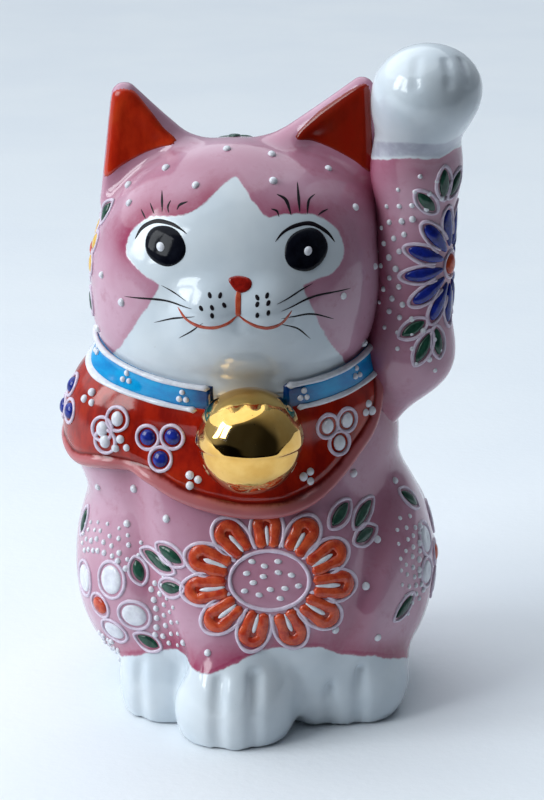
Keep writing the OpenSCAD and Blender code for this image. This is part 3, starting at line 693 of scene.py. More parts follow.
def enamel(name, slot, colour, deep, scale, pooled, rough=(0.08, 0.2), specular=0.45):
    """Glassy overglaze enamel: two tones of one colour, with grain and small unevenness."""
    m = new_material(name)
    base = m.blend(m.ramp(m.noise(scale, 4, 0.6), 0.28, 0.76), colour, deep)
    base = m.blend(m.ramp(m.noise(0.35, 2), 0.35, 0.8, 0, pooled * 0.35), base, deep)
    r = m.ramp(m.noise(2.4, 3), 0.3, 0.75, *rough)
    skin = m.bump(m.noise(0.8, 3), 0.12, 0.1)
    return m.put(base=base, rough=r, specular=specular, normal=skin), slot


def red_glaze(name, tones, rim):
    """Iron red brushed over white, with a painted rosy reflection on a rim that is rim mm wide and
    painted shade in the groove inside it, or a thin orange edge and painted shade where deep is
    set.
    """
    m = new_material(name)
    streak, slow = m.noise(3.0, 5, 0.65, stretch=(1, 1, 0.45)), m.noise(9, 3)
    base = m.blend(m.ramp(streak, 0.36, 0.68), *tones)
    base = m.blend(m.ramp(slow, 0.5, 0.8, 0, 0.6), base, (0.5, 0.06, 0.012))
    edge = m.shaken(m.attribute("edge_mm"), streak, 0.8)
    if rim:
        # painted reflection: the rolled rim made lighter and rosy
        rosy = m.ramp(edge, rim - 0.5, rim + 0.3, 1, 0)
        base = m.blend(m.math("MULTIPLY", rosy, 0.85), base, (0.47, 0.16, 0.175))
        # painted shade in the groove inside the rim
        dark = m.band(edge, rim + 0.25, 0.5)
        base = m.blend(m.math("MULTIPLY", dark, 0.75), base, (0.09, 0.003, 0.004))
    else:
        thin = m.ramp(edge, 0.0, 0.7, 1, 0)
        base = m.blend(m.math("MULTIPLY", thin, 0.2), base, (0.55, 0.1, 0.03))
        uneven = m.ramp(streak, 0.25, 0.7, 1.0, 0.7)
        # painted shade: deep darkens the cat's left ear, which is in shadow
        deep = m.math("MULTIPLY", m.attribute("deep"), uneven, clamp=True)
        base = m.blend(deep, base, (0.085, 0.003, 0.002))
    r = m.ramp(m.noise(4, 4), 0.3, 0.75, 0.08, 0.22)
    skin = m.bump(m.noise(1.4, 3), 0.14, 0.12)
    return m.put(base=base, rough=r, specular=0.45, normal=skin), "enamel_red"


def turquoise_glaze():
    m = new_material("turquoise_collar_glaze")
    streak = m.noise(3.2, 5, 0.65, stretch=(0.5, 0.5, 1.2))
    base = m.blend(m.ramp(streak, 0.34, 0.7), (0.0, 0.33, 0.66), (0.0, 0.19, 0.50))
    deep = m.math("MULTIPLY", m.attribute("deep"), m.ramp(streak, 0.2, 0.7, 0.7, 1.1), clamp=True)
    base = m.blend(deep, base, (0.002, 0.03, 0.16))
    r = m.ramp(m.noise(3, 4), 0.3, 0.75, 0.08, 0.2)
    return m.put(base=base, rough=r, specular=0.45, normal=m.bump(m.noise(1.2, 3), 0.14, 0.1))


def gold():
    m = new_material("bright_gilding")
    wear = m.noise(1.1, 4, 0.65)
    base = m.blend(m.ramp(m.noise(4, 3), 0.3, 0.7), (0.90, 0.56, 0.17), (0.80, 0.45, 0.11))
    base = m.blend(m.ramp(m.noise(0.55, 1), 0.76, 0.82, 0, 0.85), base, (0.12, 0.05, 0.02))
    rough = m.ramp(wear, 0.35, 0.85, 0.02, 0.12)
    dents = m.bump(m.noise(6.5, 1), 0.8, 1.1)
    return m.put(base=base, metal=1.0, rough=rough, coat=0.15, coat_rough=0.05,
                 normal=m.bump(wear, 0.06, 0.05, dents))


# Coats: a material and its slot. Enamels give two tones, size of mottling, pooling, roughness range
# and specular.
pink_glaze = glaze_body(), "glaze_pink"
white = enamel("white_raised_enamel", "enamel_white", (0.74, 0.76, 0.8), (0.6, 0.6, 0.67), 1.2, 0.3)
lilac = enamel("pale_outline_enamel", "enamel_white", (0.66, 0.58, 0.68), (0.56, 0.44, 0.56),
               1.0, 0.3)
orange = enamel("orange_raised_enamel", "enamel_orange", (0.62, 0.1, 0.035), (0.38, 0.022, 0.012),
                1.3, 0.7)
green = enamel("green_raised_enamel", "enamel_green", (0.02, 0.085, 0.052), (0.007, 0.03, 0.022),
               1.2, 0.7)
blue = enamel("cobalt_raised_enamel", "enamel_blue", (0.014, 0.03, 0.30), (0.006, 0.01, 0.12),
              1.2, 0.6)
yellow = enamel("yellow_raised_enamel", "enamel_yellow", (0.72, 0.5, 0.1), (0.6, 0.3, 0.04),
                1.2, 0.4)
black = enamel("black_overglaze", "enamel_black", (0.006, 0.007, 0.012), (0.002, 0.002, 0.005),
               1.5, 0.3, (0.06, 0.12), 0.11)
black_line = enamel("black_line_overglaze", "enamel_black", (0.012, 0.008, 0.012),
                    (0.004, 0.003, 0.005), 0.8, 0.5, (0.3, 0.5), 0.15)
orange_deep = enamel("deep_red_under_orange", "enamel_orange", (0.38, 0.03, 0.012),
                     (0.22, 0.012, 0.006), 0.9, 0.5)
red_line = enamel("orange_red_line_enamel", "enamel_red", (0.52, 0.1, 0.045), (0.36, 0.03, 0.015),
                  0.9, 0.6)
nose_red = enamel("nose_red_enamel", "enamel_red", (0.33, 0.012, 0.006), (0.15, 0.004, 0.003),
                  1.0, 0.5)
bib_red = red_glaze("iron_red_bib_glaze", ((0.37, 0.016, 0.005), (0.21, 0.007, 0.004)), 2.7)
ear_red = red_glaze("iron_red_ear_glaze", ((0.58, 0.035, 0.009), (0.42, 0.017, 0.005)), 0)
turquoise = turquoise_glaze(), "enamel_turquoise"
gilding = gold(), "gilding"

# ---- where the pink stops ----
# Outline of the white face, seen from the front. Feet and paw: angle round the axis, and the height
# of the pink's edge there.
FACE_WHITE = [
    (-4, 102.2), (-2.9, 100.9), (-1.2, 98.8), (1.2, 96.3), (3.4, 96.3), (7, 96.3), (10.5, 95.5),
    (13.4, 93.2), (14.9, 89.6), (14, 87), (11.5, 85.7), (8.6, 85.2), (7.6, 84.6), (9.1, 80.9),
    (11.6, 74.8), (15.2, 68), (17.5, 58), (-31, 58), (-25.6, 69.4), (-21.3, 77.2), (-17.7, 83.6),
    (-17.6, 84.8), (-19.4, 85.5), (-22.2, 87.4), (-23.3, 90), (-21.6, 93.4), (-18.4, 95.4),
    (-13.6, 96.1), (-9.7, 98), (-6.3, 101)]
FOOT_TURN = [
    -180, -110, -80, -57, -38.4, -30.2, -18.2, -12.3, -4.2, 5, 11.5, 25.4, 34.1, 44.5, 70.5, 110,
    180]
FOOT_WHITE = [
    8.2, 8.5, 9.2, 10.7, 14.3, 15.4, 14.2, 14.1, 16.1, 18.1, 18.2, 17.7, 15.5, 14.1, 9.0, 8.6, 8.2]
PAW_TURN = [-180, -71, -10, 22, 42, 120, 180]
PAW_WHITE = [102.8, 103.3, 105.2, 104.8, 106.2, 105.6, 102.8]
THROAT_Z, THROAT_X, THROAT_W = 62.5, -2, 11  # white behind the bell: above, about and within
BROW_Z, BROWS = 96, ((-17, 7), (7, 8))  # rosy strokes over the eyes: middle and half width
EYE_CORNER, BLAZE_SIDE = (-24, 91), (-9, 98)


def off_outline(x, z, outline):
    """Signed distance to a closed outline, negative inside."""
    d = np.full(len(x), 1e9)
    inside = np.zeros(len(x), bool)
    for (ax, az), (bx, bz) in zip(outline, np.roll(outline, -1, 0)):
        ex, ez = bx - ax, bz - az
        t = np.clip(((x - ax) * ex + (z - az) * ez) / (ex * ex + ez * ez), 0, 1)
        d = np.minimum(d, np.hypot(x - ax - t * ex, z - az - t * ez))
        cross = (az > z) != (bz > z)
        inside ^= cross & (x < ax + (z - az) * ex / (ez + (ez == 0)))
    return np.where(inside, -d, d)


def near(d, width):
    return np.exp(-(np.maximum(d, 0) / width) ** 2)


def seen_from(p, axis):
    """Angle in degrees round an upright axis, 0 in front."""
    return np.degrees(np.arctan2(p[:, 0] - axis[0], -(p[:, 1] - axis[1])))


# Each paint gives the distance from the white, pooled rose with painted shade, how rosy the pink's
# edge is, and grey.
def paint_head(p):
    x, y, z = p.T
    edge = np.maximum(off_outline(x, z, curve(FACE_WHITE, 150, True)), (y + 4) * 0.8)
    (x_a, w_a), (x_b, w_b) = BROWS
    brow = np.maximum(near(np.abs(x - x_a), w_a), near(np.abs(x - x_b), w_b))
    brow = near(np.abs(z - BROW_Z), 3.6) * brow
    outer = near(np.hypot(x - EYE_CORNER[0], z - EYE_CORNER[1]), 4.4)
    blaze = near(np.abs(z - BLAZE_SIDE[1]), 5) * near(np.abs(x - BLAZE_SIDE[0]), 5)
    rose = np.clip(brow + outer + blaze, 0, 1) * (y < 0)
    pool = rose * near(edge - 0.2, 2.8) * 0.95
    # painted shade where the raised arm and the ears meet the head
    pool += 0.5 * near(off_arm(p.T) - 0.1, 1.5)
    for ear in EARS:
        pool += 0.3 * near(np.abs(off_ear(p.T, *ear) - 1.2), 1.3) * (z < 105)
    return edge, pool, 0.15 + 0.8 * rose, 0 * x


def paint_body(p):
    x, y, z = p.T
    turn = seen_from(p, BODY_AXIS)
    edge = (z - np.interp(turn, FOOT_TURN, FOOT_WHITE)) * 0.85
    # painted shade in the leg grooves and where the raised arm meets the body; rose along the
    # pink's edge
    crease = grooves(p.T, BODY_GROOVES[5:]) * (z > 12)
    patch = 0.5 + 0.5 * np.sin(turn / 9 + 1) * np.sin(turn / 23)
    pool = 0.34 * np.clip(crease, 0, 1) + 0.7 * near(off_arm(p.T) - 0.1, 2)
    pool = pool + (0.5 + 0.5 * patch) * near(edge - 0.5, 2.6)
    throat = np.maximum(THROAT_Z - z, np.abs(x - THROAT_X) - THROAT_W)
    throat = np.maximum(throat, y + 6) * 0.8 + 0.4
    return np.minimum(edge, throat), pool, np.where(z < 40, 0.9, 0), 0 * x


def paint_arm(p):
    turn = seen_from(p, ARM_AXIS)
    edge = np.interp(turn, PAW_TURN, PAW_WHITE) - p[:, 2]
    # painted shade where the arm meets the figure, and rose along the pink's edge on one side
    pool = 0.75 * near(off_figure(p.T) - 0.1, 2.2) + 0.3 * near(edge - 0.5, 4) * near(turn + 40, 60)
    grey = 0.8 * np.clip((edge + 3.4) / 0.4, 0, 1) * np.clip((-0.2 - edge) / 0.4, 0, 1)
    # painted shade in the toe grooves, added to the grey wash above the pink's edge
    grey = grey + 1.4 * np.clip(grooves(p.T, ARM_GROOVES) - 0.2, 0, 1)
    return edge, pool, np.full(len(p), 0.3), grey


# piece, shape, outer surface, box, cell size, paint and node
CASTINGS = [
    ("torso_casting_glazed", torso_shell, off_figure, (-37, -35, -1.4), (36, 31, 73), 0.5,
     paint_body, "torso_casting"),
    ("head_casting_glazed", head_shell, off_figure, (-32, -29, 62), (23, 22, 119), 0.42,
     paint_head, "head_casting"),
    ("raised_arm_glazed", arm_solid, off_arm, (12, -24, 48), (41, 8, 127.5), 0.42,
     paint_arm, "raised_arm_casting"),
]
for name, fn, surface, lo, hi, step, paint, node in CASTINGS:
    piece, points = cast(name, fn, surface, lo, hi, step, pink_glaze, node)
    edge, pool, rose, grey = paint(points)
    pool, grey = np.clip(pool, 0, 1), np.clip(grey, 0, 1)
    set_values(piece, white_mm=edge, pool=pool, edge_rose=rose, grey=grey)

# ---- bell, collar and bib ----
BELL_AT = (-1.7, -23.5, 56.4)
BELL_STEP = 0.35  # how far the lower half stands back
BIB_T, COLLAR_T = 1.3, 0.7
COLLAR_W, COLLAR_Z = 5.0, 68.4
COLLAR_ENDS = (16, 345)
PIPING = [  # name, height on the collar, ends
    ("collar_piping_upper", COLLAR_W / 2 - 0.3, (17, 344)),
    ("collar_piping_lower", -COLLAR_W / 2 + 0.2, (22, 338))]
ROOTED = -0.3  # where the underside of a layer lies, inside the clay
BIB_EDGE = [
    (-124, 66), (-113, 57), (-98, 51), (-83, 48.6), (-70, 46.9), (-56, 47.9), (-42, 47),
    (-28, 44.3), (-13, 42.3), (1, 41.2), (18, 41.8), (36, 45), (51, 50.3), (63, 56), (72, 65)]


def bell():
    rows, cols = 94, 128
    rise = np.linspace(-np.pi / 2, np.pi / 2, rows + 2)[1:-1]
    r, a = np.meshgrid(rise, np.linspace(0, 2 * np.pi, cols, endpoint=False), indexing="ij")
    upper = 1 / (1 + np.exp(-(np.sin(r) * BELL_D / 2 + 0.05) / 0.07))
    radius = BELL_D / 2 - BELL_STEP * (1 - upper)
    radius = (radius + 0.05 * np.sin(3 * a + 1) * np.cos(r) * np.sin(4 * r + 0.5)
              + 0.035 * np.sin(5 * a) * np.cos(r))
    p = [radius * np.cos(r) * np.cos(a), radius * np.cos(r) * np.sin(a), radius * np.sin(r)]
    p = np.stack(p, -1).reshape(-1, 3) + BELL_AT
    ends = np.add([(0, 0, BELL_STEP - BELL_D / 2), (0, 0, BELL_D / 2)], BELL_AT)
    low, high = len(p), len(p) + 1
    faces = (net(rows, cols, loop=True) + [f[::-1] for f in fan(0, cols, low)]
             + fan((rows - 1) * cols, cols, high))
    new_piece("gilt_bell", np.vstack([p, ends]), faces, gilding, ["bell"])


def collar_mid(turn):
    y = on_body(turn, 65.0)[:, 1]
    return COLLAR_Z + np.where(y < 0, 0.245, 0.13) * y


def collar():
    """The band is open in front, where the bell hangs."""
    rows, cols = 240, 17
    turn = np.linspace(*COLLAR_ENDS, rows)
    t, u = np.meshgrid(turn, np.linspace(-1, 1, cols), indexing="ij")
    z = np.repeat(collar_mid(turn), cols).reshape(rows, cols) + u * COLLAR_W / 2
    in_mm = np.minimum(t - COLLAR_ENDS[0], COLLAR_ENDS[1] - t) * DEG_BODY
    lift = COLLAR_T * np.sqrt(np.maximum(0, 1 - np.abs(u) ** 8)) * (1 - 0.12 * (1 - u ** 2))
    lift = lift * np.sqrt(1 - (1 - np.clip(in_mm / 0.9, 0, 1)) ** 2)
    o = sheet("collar_band_glazed", on_body(t, z, lift), on_body(t, z, ROOTED), t.shape, turquoise,
              "collar_band")
    deep = 0.95 * near(in_mm - 1, 4.5) + 0.5 * near(np.abs(np.abs(u) - 0.86), 0.14)
    set_values(o, deep=np.tile(np.clip(deep.ravel(), 0, 1), 2))


def bib():
    """Thick at its rolled rim, thin where it passes under the collar."""
    rows, cols = 260, 40
    a, b = BIB_EDGE[0][0] + 0.2, BIB_EDGE[-1][0] - 0.2
    turn = np.linspace(a, b, rows)
    key = curve(BIB_EDGE, 160)
    lo = np.interp(turn, key[:, 0], key[:, 1])
    hi = np.maximum(collar_mid(turn) - COLLAR_W / 2 + 0.6, lo + 0.5)
    share = 1 - (1 - np.linspace(0, 1, cols)) ** 1.8
    t, s = np.meshgrid(turn, share, indexing="ij")
    z = hi[:, None] + (lo - hi)[:, None] * s
    drop = z - lo[:, None]
    slant = np.gradient(lo, turn * DEG_BODY)[:, None]
    edge = drop / np.sqrt(1 + slant ** 2)
    edge = np.minimum(edge, np.minimum(t - a, b - t) * DEG_BODY)
    lift = BIB_T * np.sqrt(np.clip(1 - (1 - np.clip(edge / 1.1, 0, 1)) ** 2, 0, 1))
    lift = lift * (0.5 + 0.5 * np.clip((hi[:, None] - z) / 3.5, 0, 1))
    lift = (lift + 0.55 * np.exp(-((edge - 1.5) / 1.1) ** 2)
            - 0.3 * np.exp(-((edge - 3.1) / 0.6) ** 2))
    lift = np.where(edge < 0.02, 0, lift)
    o = sheet("bib_glazed", on_body(t, z, lift), on_body(t, z, ROOTED), t.shape, bib_red,
              "bib_layer")
    set_values(o, edge_mm=np.tile(edge.ravel(), 2))


def piping():
    """Two trailed white lines, rounded off at both ends."""
    around = 9
    a = np.linspace(0, np.pi, around)
    for name, rise, ends in PIPING:
        e = np.linspace(*ends, 220)
        k = np.minimum(e - ends[0], ends[1] - e) * DEG_BODY
        cap = np.sqrt(np.clip(1 - (1 - np.clip(k / 0.7, 0, 1)) ** 2, 0.02, 1))
        cap = cap * (1 + 0.45 * np.exp(-(k / 1.3) ** 2))
        cap = (cap * (1 + 0.06 * np.sin(e / 5) + 0.05 * np.sin(e / 2.3)))[:, None]
        z = (collar_mid(e) + rise + 0.05 * np.sin(e / 9))[:, None] + 0.5 * cap * np.cos(a)
        t = np.repeat(e, around).reshape(-1, around)
        top = on_body(t, z, COLLAR_T - 0.1 + 0.6 * cap * np.sin(a))
        sheet(name, top, on_body(t, z, COLLAR_T - 0.35), t.shape, white, "collar_piping")


bell()
collar()
bib()
piping()

BEAD, PETAL_H = 1.45, 0.5


def trio(spot, gap, d, t):
    """Three dots round a spot of the body."""
    for k in range(3):
        yield moved(spot, *polar(120 * k + t, gap), "body"), d


def beads(node, dots, where="body", lift=0.0):
    """Raised white dots, each given as its spot and size."""
    e = Enamel()
    for spot, d in dots:
        e.bead(seat(spot, where, lift), d)
    e.lay(white, node)


COLLAR_TURNS = (
    25, 54, 84, 114, 144, 174, 204, 234, 262, 283, 306, 332)
collar_spots = [(turn, float(collar_mid(np.array([turn]))[0])) for turn in COLLAR_TURNS]
beads("collar_dots", (q for at in collar_spots for q in trio(at, 0.85, 0.72 * BEAD, 90)),
      lift=COLLAR_T)

BERRIES = [(-43.6, 55), (-33.6, 55.6), (-37, 51.3), (-79, 60.3), (-82, 56.1), (-74, 56.6)]
BLOSSOMS = [(-58.5, 55.6), (-54.5, 57.7), (-57.2, 53.6), (37, 57.2), (46.5, 57.6), (42.5, 53.6)]
berries, blossoms, rings = Enamel(), Enamel(), Enamel()
for q in BERRIES:
    berries.dome(seat(q, "body", BIB_T), oval(3.0, 2.9), 0.85, 2.2)
for q in BLOSSOMS:
    blossoms.dome(seat(q, "body", BIB_T), oval(2.7, 2.2) * rng.uniform(0.92, 1.08), 0.75, 2.2)
for q in BERRIES + BLOSSOMS:
    rings.trail(seat(q, "body", BIB_T), oval(4.35, 4.15, 30), 0.68, 0.36, closed=True)
berries.lay(blue, "bib_berries")
blossoms.lay(white, "bib_blossoms")
rings.lay(lilac, "bib_outlines")
BIB_TRIOS = ((-23.5, 48.2), (27, 48.3), (-66, 60), (-52.4, 53.3), (58, 58.5))
beads("bib_dots", (q for at in BIB_TRIOS for q in trio(at, 1.0, BEAD, 30 + at[0])), lift=BIB_T)

# ---- face ----
# Marks are given across and up, as seen from the front.
FACE = front_seat()
EYES = ((-16.3, 91.1, 7.2, 6.5), (8.2, 90.5, 7.6, 7.0))  # middle, width and height
NOSE = [
    (-5.3, 86.4), (-4.2, 87.0), (-2.9, 87.0), (-1.6, 86.6), (-1.2, 85.7), (-1.8, 84.8),
    (-3.2, 84.3), (-4.2, 84.8)]
LIDS = [
    [(-21.7, 91.4), (-20.6, 93.2), (-19, 94.4), (-17.3, 94.9), (-15.1, 94.7), (-13.4, 94),
     (-12.5, 93.4)],
    [(2.8, 92.3), (4.2, 93.7), (6.1, 94.5), (8.5, 94.7), (10.3, 94), (12.1, 92.6), (13.3, 91)]]
LASHES = [
    [(-20.7, 96.1), (-19.8, 94.8)], [(-19.1, 97.3), (-18.3, 95.8)], [(-17, 99.4), (-16.9, 96.3)],
    [(-15.4, 98.2), (-15.9, 97.2), (-15.7, 96.3)], [(-12.4, 98.3), (-13.8, 97.7), (-14.3, 96.9)],
    [(2.1, 97.4), (3.1, 97), (3.5, 96.1)], [(3.1, 99.5), (4.7, 98.5), (5.6, 96.2)],
    [(6.7, 100.9), (7.1, 96.5)], [(9.8, 98.9), (8.7, 98.1), (8.4, 96.1)],
    [(12.1, 96.4), (11, 96.1), (10.3, 95.7)]]
WHISKERS = [
    [(-12.6, 82.6), (-14.6, 83.5), (-17, 84.5)], [(-11.6, 81.5), (-17.2, 81.9), (-23.7, 81.3)],
    [(-11.1, 80.2), (-14.6, 79.1), (-18.4, 77.5)], [(-9.7, 79.1), (-11.6, 77.3), (-14, 75.4)],
    [(3.1, 82.5), (6.2, 83.6), (9.4, 84.8)], [(3.8, 81.2), (9.8, 82.5), (16.2, 82.6)],
    [(3.8, 79.8), (8.9, 79.5), (13.2, 77.6)], [(3.5, 78.8), (6.6, 77.4), (9.1, 74.6)]]
MOUTH = [
    [(-3.7, 80.5), (-5.4, 79.1), (-7.6, 78.3), (-10.2, 78.3), (-12.5, 79.3), (-14.1, 81.3)],
    [(-3.6, 80.6), (-2.2, 79.5), (-0.2, 78.5), (1.9, 78.2), (4, 78.9), (5.7, 81)]]
LIP_GROOVE = [[(-3.5, 84.9), (-3.6, 83), (-3.6, 80.3)]]
WHISKER_DOTS = (
    (-8.5, 84), (-6.7, 84), (-10, 81.8), (-8.1, 82), (-6, 82.4), (-8.1, 80.6), (-0.3, 83.7),
    (1.4, 84), (-0.3, 82.6), (1.6, 82.8), (-0.3, 80.7), (1.6, 81.1))


def strokes(name, lines, width, height, coat, taper, ends):
    e = Enamel()
    for line in lines:
        path = curve(line, 34 if len(line) > 2 else 22)
        e.trail(FACE, path, width, height, taper=taper, ends=ends, wander=0.05)
    e.lay(coat, name=name)


discs, glints, spots = Enamel(), Enamel(), Enamel()
for cx, cz, wide, tall in EYES:
    ring = oval(tall, wide, 40)
    uneven = 1 + 0.012 * np.sin(5 * np.arctan2(ring[:, 1], ring[:, 0]) + cx)
    discs.dome(FACE, ring * uneven[:, None] + (cx, cz), 0.55)
for at in ((-16.9, 90.9), (8.3, 90.3)):
    glints.dome(FACE, oval(1.9, 1.8) + at, 0.85, 2.0)
discs.lay(black, "eye_discs", "eye_discs_black")
glints.lay(white, "eye_highlights", "eye_highlights_white")
Enamel().dome(FACE, curve(NOSE, 28, True), 0.34, 4).lay(nose_red, "nose_pad", "nose_pad_red")
strokes("eyelid_lines", LIDS, 0.66, 0.08, black_line, 1.6, 0.45)
strokes("lash_lines", LASHES, 0.6, 0.07, black_line, 1.3, 0.5)
strokes("whisker_lines", WHISKERS, 0.44, 0.07, black_line, 3.0, 0.5)
strokes("mouth_lines", MOUTH, 0.66, 0.12, red_line, 2.2, 0.7)
strokes("lip_groove_line", LIP_GROOVE, 1.0, 0.14, red_line, 0.6, 0.9)
for at in WHISKER_DOTS:
    spots.dome(FACE, spun(oval(1.05, 0.68, 12), rng.uniform(-25, 35)) + at, 0.1, 3)
spots.lay(black_line, name="whisker_dots")

EAR_RED = [  # outline of each red ear front, seen from the front
    [(-25.8, 115.1), (-22.5, 115.2), (-19.7, 112), (-16.9, 108.3), (-14.6, 105.8), (-17.6, 104.7),
     (-20.7, 103.5), (-24.4, 101.4), (-27.8, 99), (-27.4, 103.9), (-26.8, 110.2)],
    [(6.4, 106.5), (10.2, 110.8), (13.2, 113.1), (16.9, 115.6), (19.4, 116.4), (19.9, 112.9),
     (20.3, 105.3), (20.5, 100), (16.9, 102.3), (13.2, 104.3), (9.4, 105.8)]]
EAR_FRONT_Y = -9
EAR_T, EAR_LOW = 0.17, 0.25  # how far the red stands out, and how deep it is rooted


def ear_lining():
    """A thin red layer on each ear's front: rings of points from its outline to its middle."""
    n, rings = 72, 22
    pts, faces, edge = [], [], []
    for outline in EAR_RED:
        loop = curve(outline, n, True)
        mid, off = loop.mean(0), len(pts)
        for j in range(rings):
            ring = mid + (loop - mid) * (1 - (j / rings) ** 0.8)
            pts += [(x, EAR_FRONT_Y, z) for x, z in ring]
            edge += list(-off_outline(ring[:, 0], ring[:, 1], loop))
        pts.append((mid[0], EAR_FRONT_Y, mid[1]))
        edge.append(3.0)
        faces += net(rings, n, loop=True, first=off)
        faces += fan(off + (rings - 1) * n, n, off + rings * n)
    pts, edge = np.array(pts), np.maximum(0, edge)
    flat = settle(pts, np.repeat([[0.0, -1.0, 0.0]], len(pts), 0), "head", 0, FACE_STEPS)
    away = slope(flat, "head")
    top = flat + away * (EAR_T * np.sqrt(np.minimum(1, edge / 0.5)) - 0.02)[:, None]
    rims = [list(range(k, k + n)) for k in (0, rings * n + 1)]
    o = outward(new_piece("ear_linings_red", np.vstack([top, flat - away * EAR_LOW]),
                          two_sided(faces, rims, len(pts)), ear_red, ["ear_linings"]))
    deep = 0.9 * near(113 - pts[:, 2], 30) * (pts[:, 0] > 0)  # the cat's left ear is in shadow
    set_values(o, edge_mm=np.tile(edge, 2), deep=np.tile(deep, 2))


ear_lining()

# ---- belly flower ----
BELLY_AT = (8, 30.8)
RING_R, TIP_R, PETALS = (7.1, 5.3), (15.3, 12.3), 11  # reach across and up
LOOP_R = 1.55  # the orange loops round the white strokes
belly_seat = seat(BELLY_AT)
loops, inner, outer, under, specks = Enamel(), Enamel(), Enamel(), Enamel(), Enamel()
for i in range(PETALS):
    a = 93 - 360 / PETALS * i
    p, q = np.array(polar(a, *RING_R)) * 1.06, np.array(polar(a, *TIP_R))
    long, lean = np.linalg.norm(q - p), math.degrees(math.atan2(*(q - p)[::-1])) - 90
    s = belly_seat.at(*((p + q) / 2))
    t = np.radians(np.linspace(-20, 200, 15))
    bow = np.stack([LOOP_R * np.cos(t), long / 2 - LOOP_R - 0.75 + LOOP_R * np.sin(t)], -1)
    foot = np.array([0.62 * LOOP_R, -long / 2 + 0.15])
    loop = np.vstack([foot, bow, foot * (-1, 1)])
    under.dome(s, spun(oval(long - 1.0, 2 * LOOP_R, 24), lean), 0.2, 4)
    loops.trail(s, spun(curve(loop, 46), lean), 2.1, 0.62, taper=0.7, ends=0.9, wander=0.06)
    stroke = curve([(0, -long / 2 + 0.6), (0, long / 2 - 2.5)], 18)
    inner.trail(s, spun(stroke, lean), 0.95, 0.52, taper=1.5)
    outer.trail(s, spun(curve(shoe(long + 2.0, 6.1, 0, 50), 44), lean), 0.74, 0.36, taper=0.4)
loops.lay(orange, "belly_petals_orange", "belly_petals_raised")
under.lay(orange_deep, name="belly_petal_grounds")
inner.lay(white, "belly_strokes_white", "belly_strokes_raised")
outer.lay(lilac, "belly_outlines")
Enamel().trail(belly_seat, oval(2 * RING_R[1], 2 * RING_R[0], 90), 0.75, 0.4, closed=True).lay(
    lilac, "belly_ring")
for i in range(1, 15):
    r = math.sqrt(i / 15.5)
    s = belly_seat.at(*polar(137.5 * i, 0.82 * RING_R[0] * r, 0.82 * RING_R[1] * r))
    specks.dome(s, spun(oval(0.95, 1.35, 14), rng.uniform(-12, 12)), 0.34, 2.4)
specks.lay(white, "belly_dots")


def foliage(node, spots, where, wide, lines=None, grow=(1.6, 1.5)):
    """Green leaves given by turn, height, lean and length, with a pale line round each."""
    leaves = Enamel()
    for turn, h, lean, long in spots:
        s = seat((turn, h), where)
        leaves.dome(s, leaf(long, wide, lean), PETAL_H, 3.2)
        if lines:
            outline = curve(leaf(long + grow[0], wide + grow[1], lean), 44, True)
            lines.trail(s, outline, 0.62, 0.34, closed=True)
    leaves.lay(green, node)


BELLY_LEAVES = [(-36.8, 32.4, 75, 7.4), (-30.5, 34.4, 66, 5.4), (-30, 28.2, 100, 4.8),
                (39.5, 40.8, -56, 5.8), (51.5, 39.6, -66, 7.4), (48.5, 36.2, -86, 6.2)]
belly_lines = Enamel()
foliage("belly_leaves", BELLY_LEAVES, "body", 2.2, belly_lines)
belly_lines.lay(lilac, "belly_leaf_outlines")


# ---- flowers on the haunches ----
def haunch(side, spots, mid, leaves):
    """Blossoms given by turn, height, how tall and how wide, round an orange centre."""
    lines, blossoms, heart = Enamel(), Enamel(), Enamel()
    for turn, h, tall, wide in spots:
        s = seat((turn, h))
        blossoms.dome(s, oval(tall, wide, 28), PETAL_H, 3.0, dip=0.22)
        lines.trail(s, oval(tall + 1.45, wide + 1.45, 40), 0.66, 0.36, closed=True)
    heart.dome(seat(mid), oval(3.3, 3.9), 1.3 * PETAL_H)
    lines.trail(seat(mid), oval(4.7, 5.3, 32), 0.62, 0.34, closed=True)
    foliage(f"{side}_haunch_leaves", leaves, "body", 2.1, lines, (1.4, 1.5))
    blossoms.lay(white, f"{side}_haunch_blossoms")
    heart.lay(orange, f"{side}_haunch_centre")
    lines.lay(lilac, f"{side}_haunch_outlines")


haunch("right",
       [(-72, 24.3, 5.2, 5.2), (-55, 27, 5.4, 5), (-46, 21, 4.4, 4.9), (-57, 16.3, 3.7, 4.7)],
       (-61, 21),
       [(-80, 34, -12, 5), (-45.5, 29.6, 18, 4), (-43, 15.8, 70, 4.4)])
haunch("left",
       [(76, 31.5, 5.2, 4.4), (73, 25.6, 4.3, 4.2), (86, 20.6, 4.4, 4.6), (100, 24, 4.6, 4.4),
        (96, 31.6, 4.8, 4.4)],
       (87, 26.4),
       [(76, 39.2, 40, 5.2), (58, 21.8, -64, 6), (108, 34, -40, 4.6)])


def dot_field(mid, away, spread, first, per_row, rows=4, gap=1.7):
    """Arcs of small dots that fade away from a flower on the body."""
    for j in range(rows):
        for k in range(per_row):
            share = (k + 0.5 * (j % 2) + 0.5) / per_row - 0.5
            a = away + spread * share + rng.uniform(-1.5, 1.5)
            r = first + gap * j + rng.uniform(-0.3, 0.3)
            yield moved(mid, *polar(a, r), "body"), (0.78 - 0.08 * j) * BEAD


DOT_FIELDS = (
    ((-61, 22), 92, 84, 9.4, 8), ((-58, 21.5), 2, 64, 9.8, 6), ((-62, 21), -104, 34, 8.2, 4, 3),
    ((87, 27), 168, 84, 9.6, 9))
beads("haunch_dots", (q for where in DOT_FIELDS for q in dot_field(*where)))

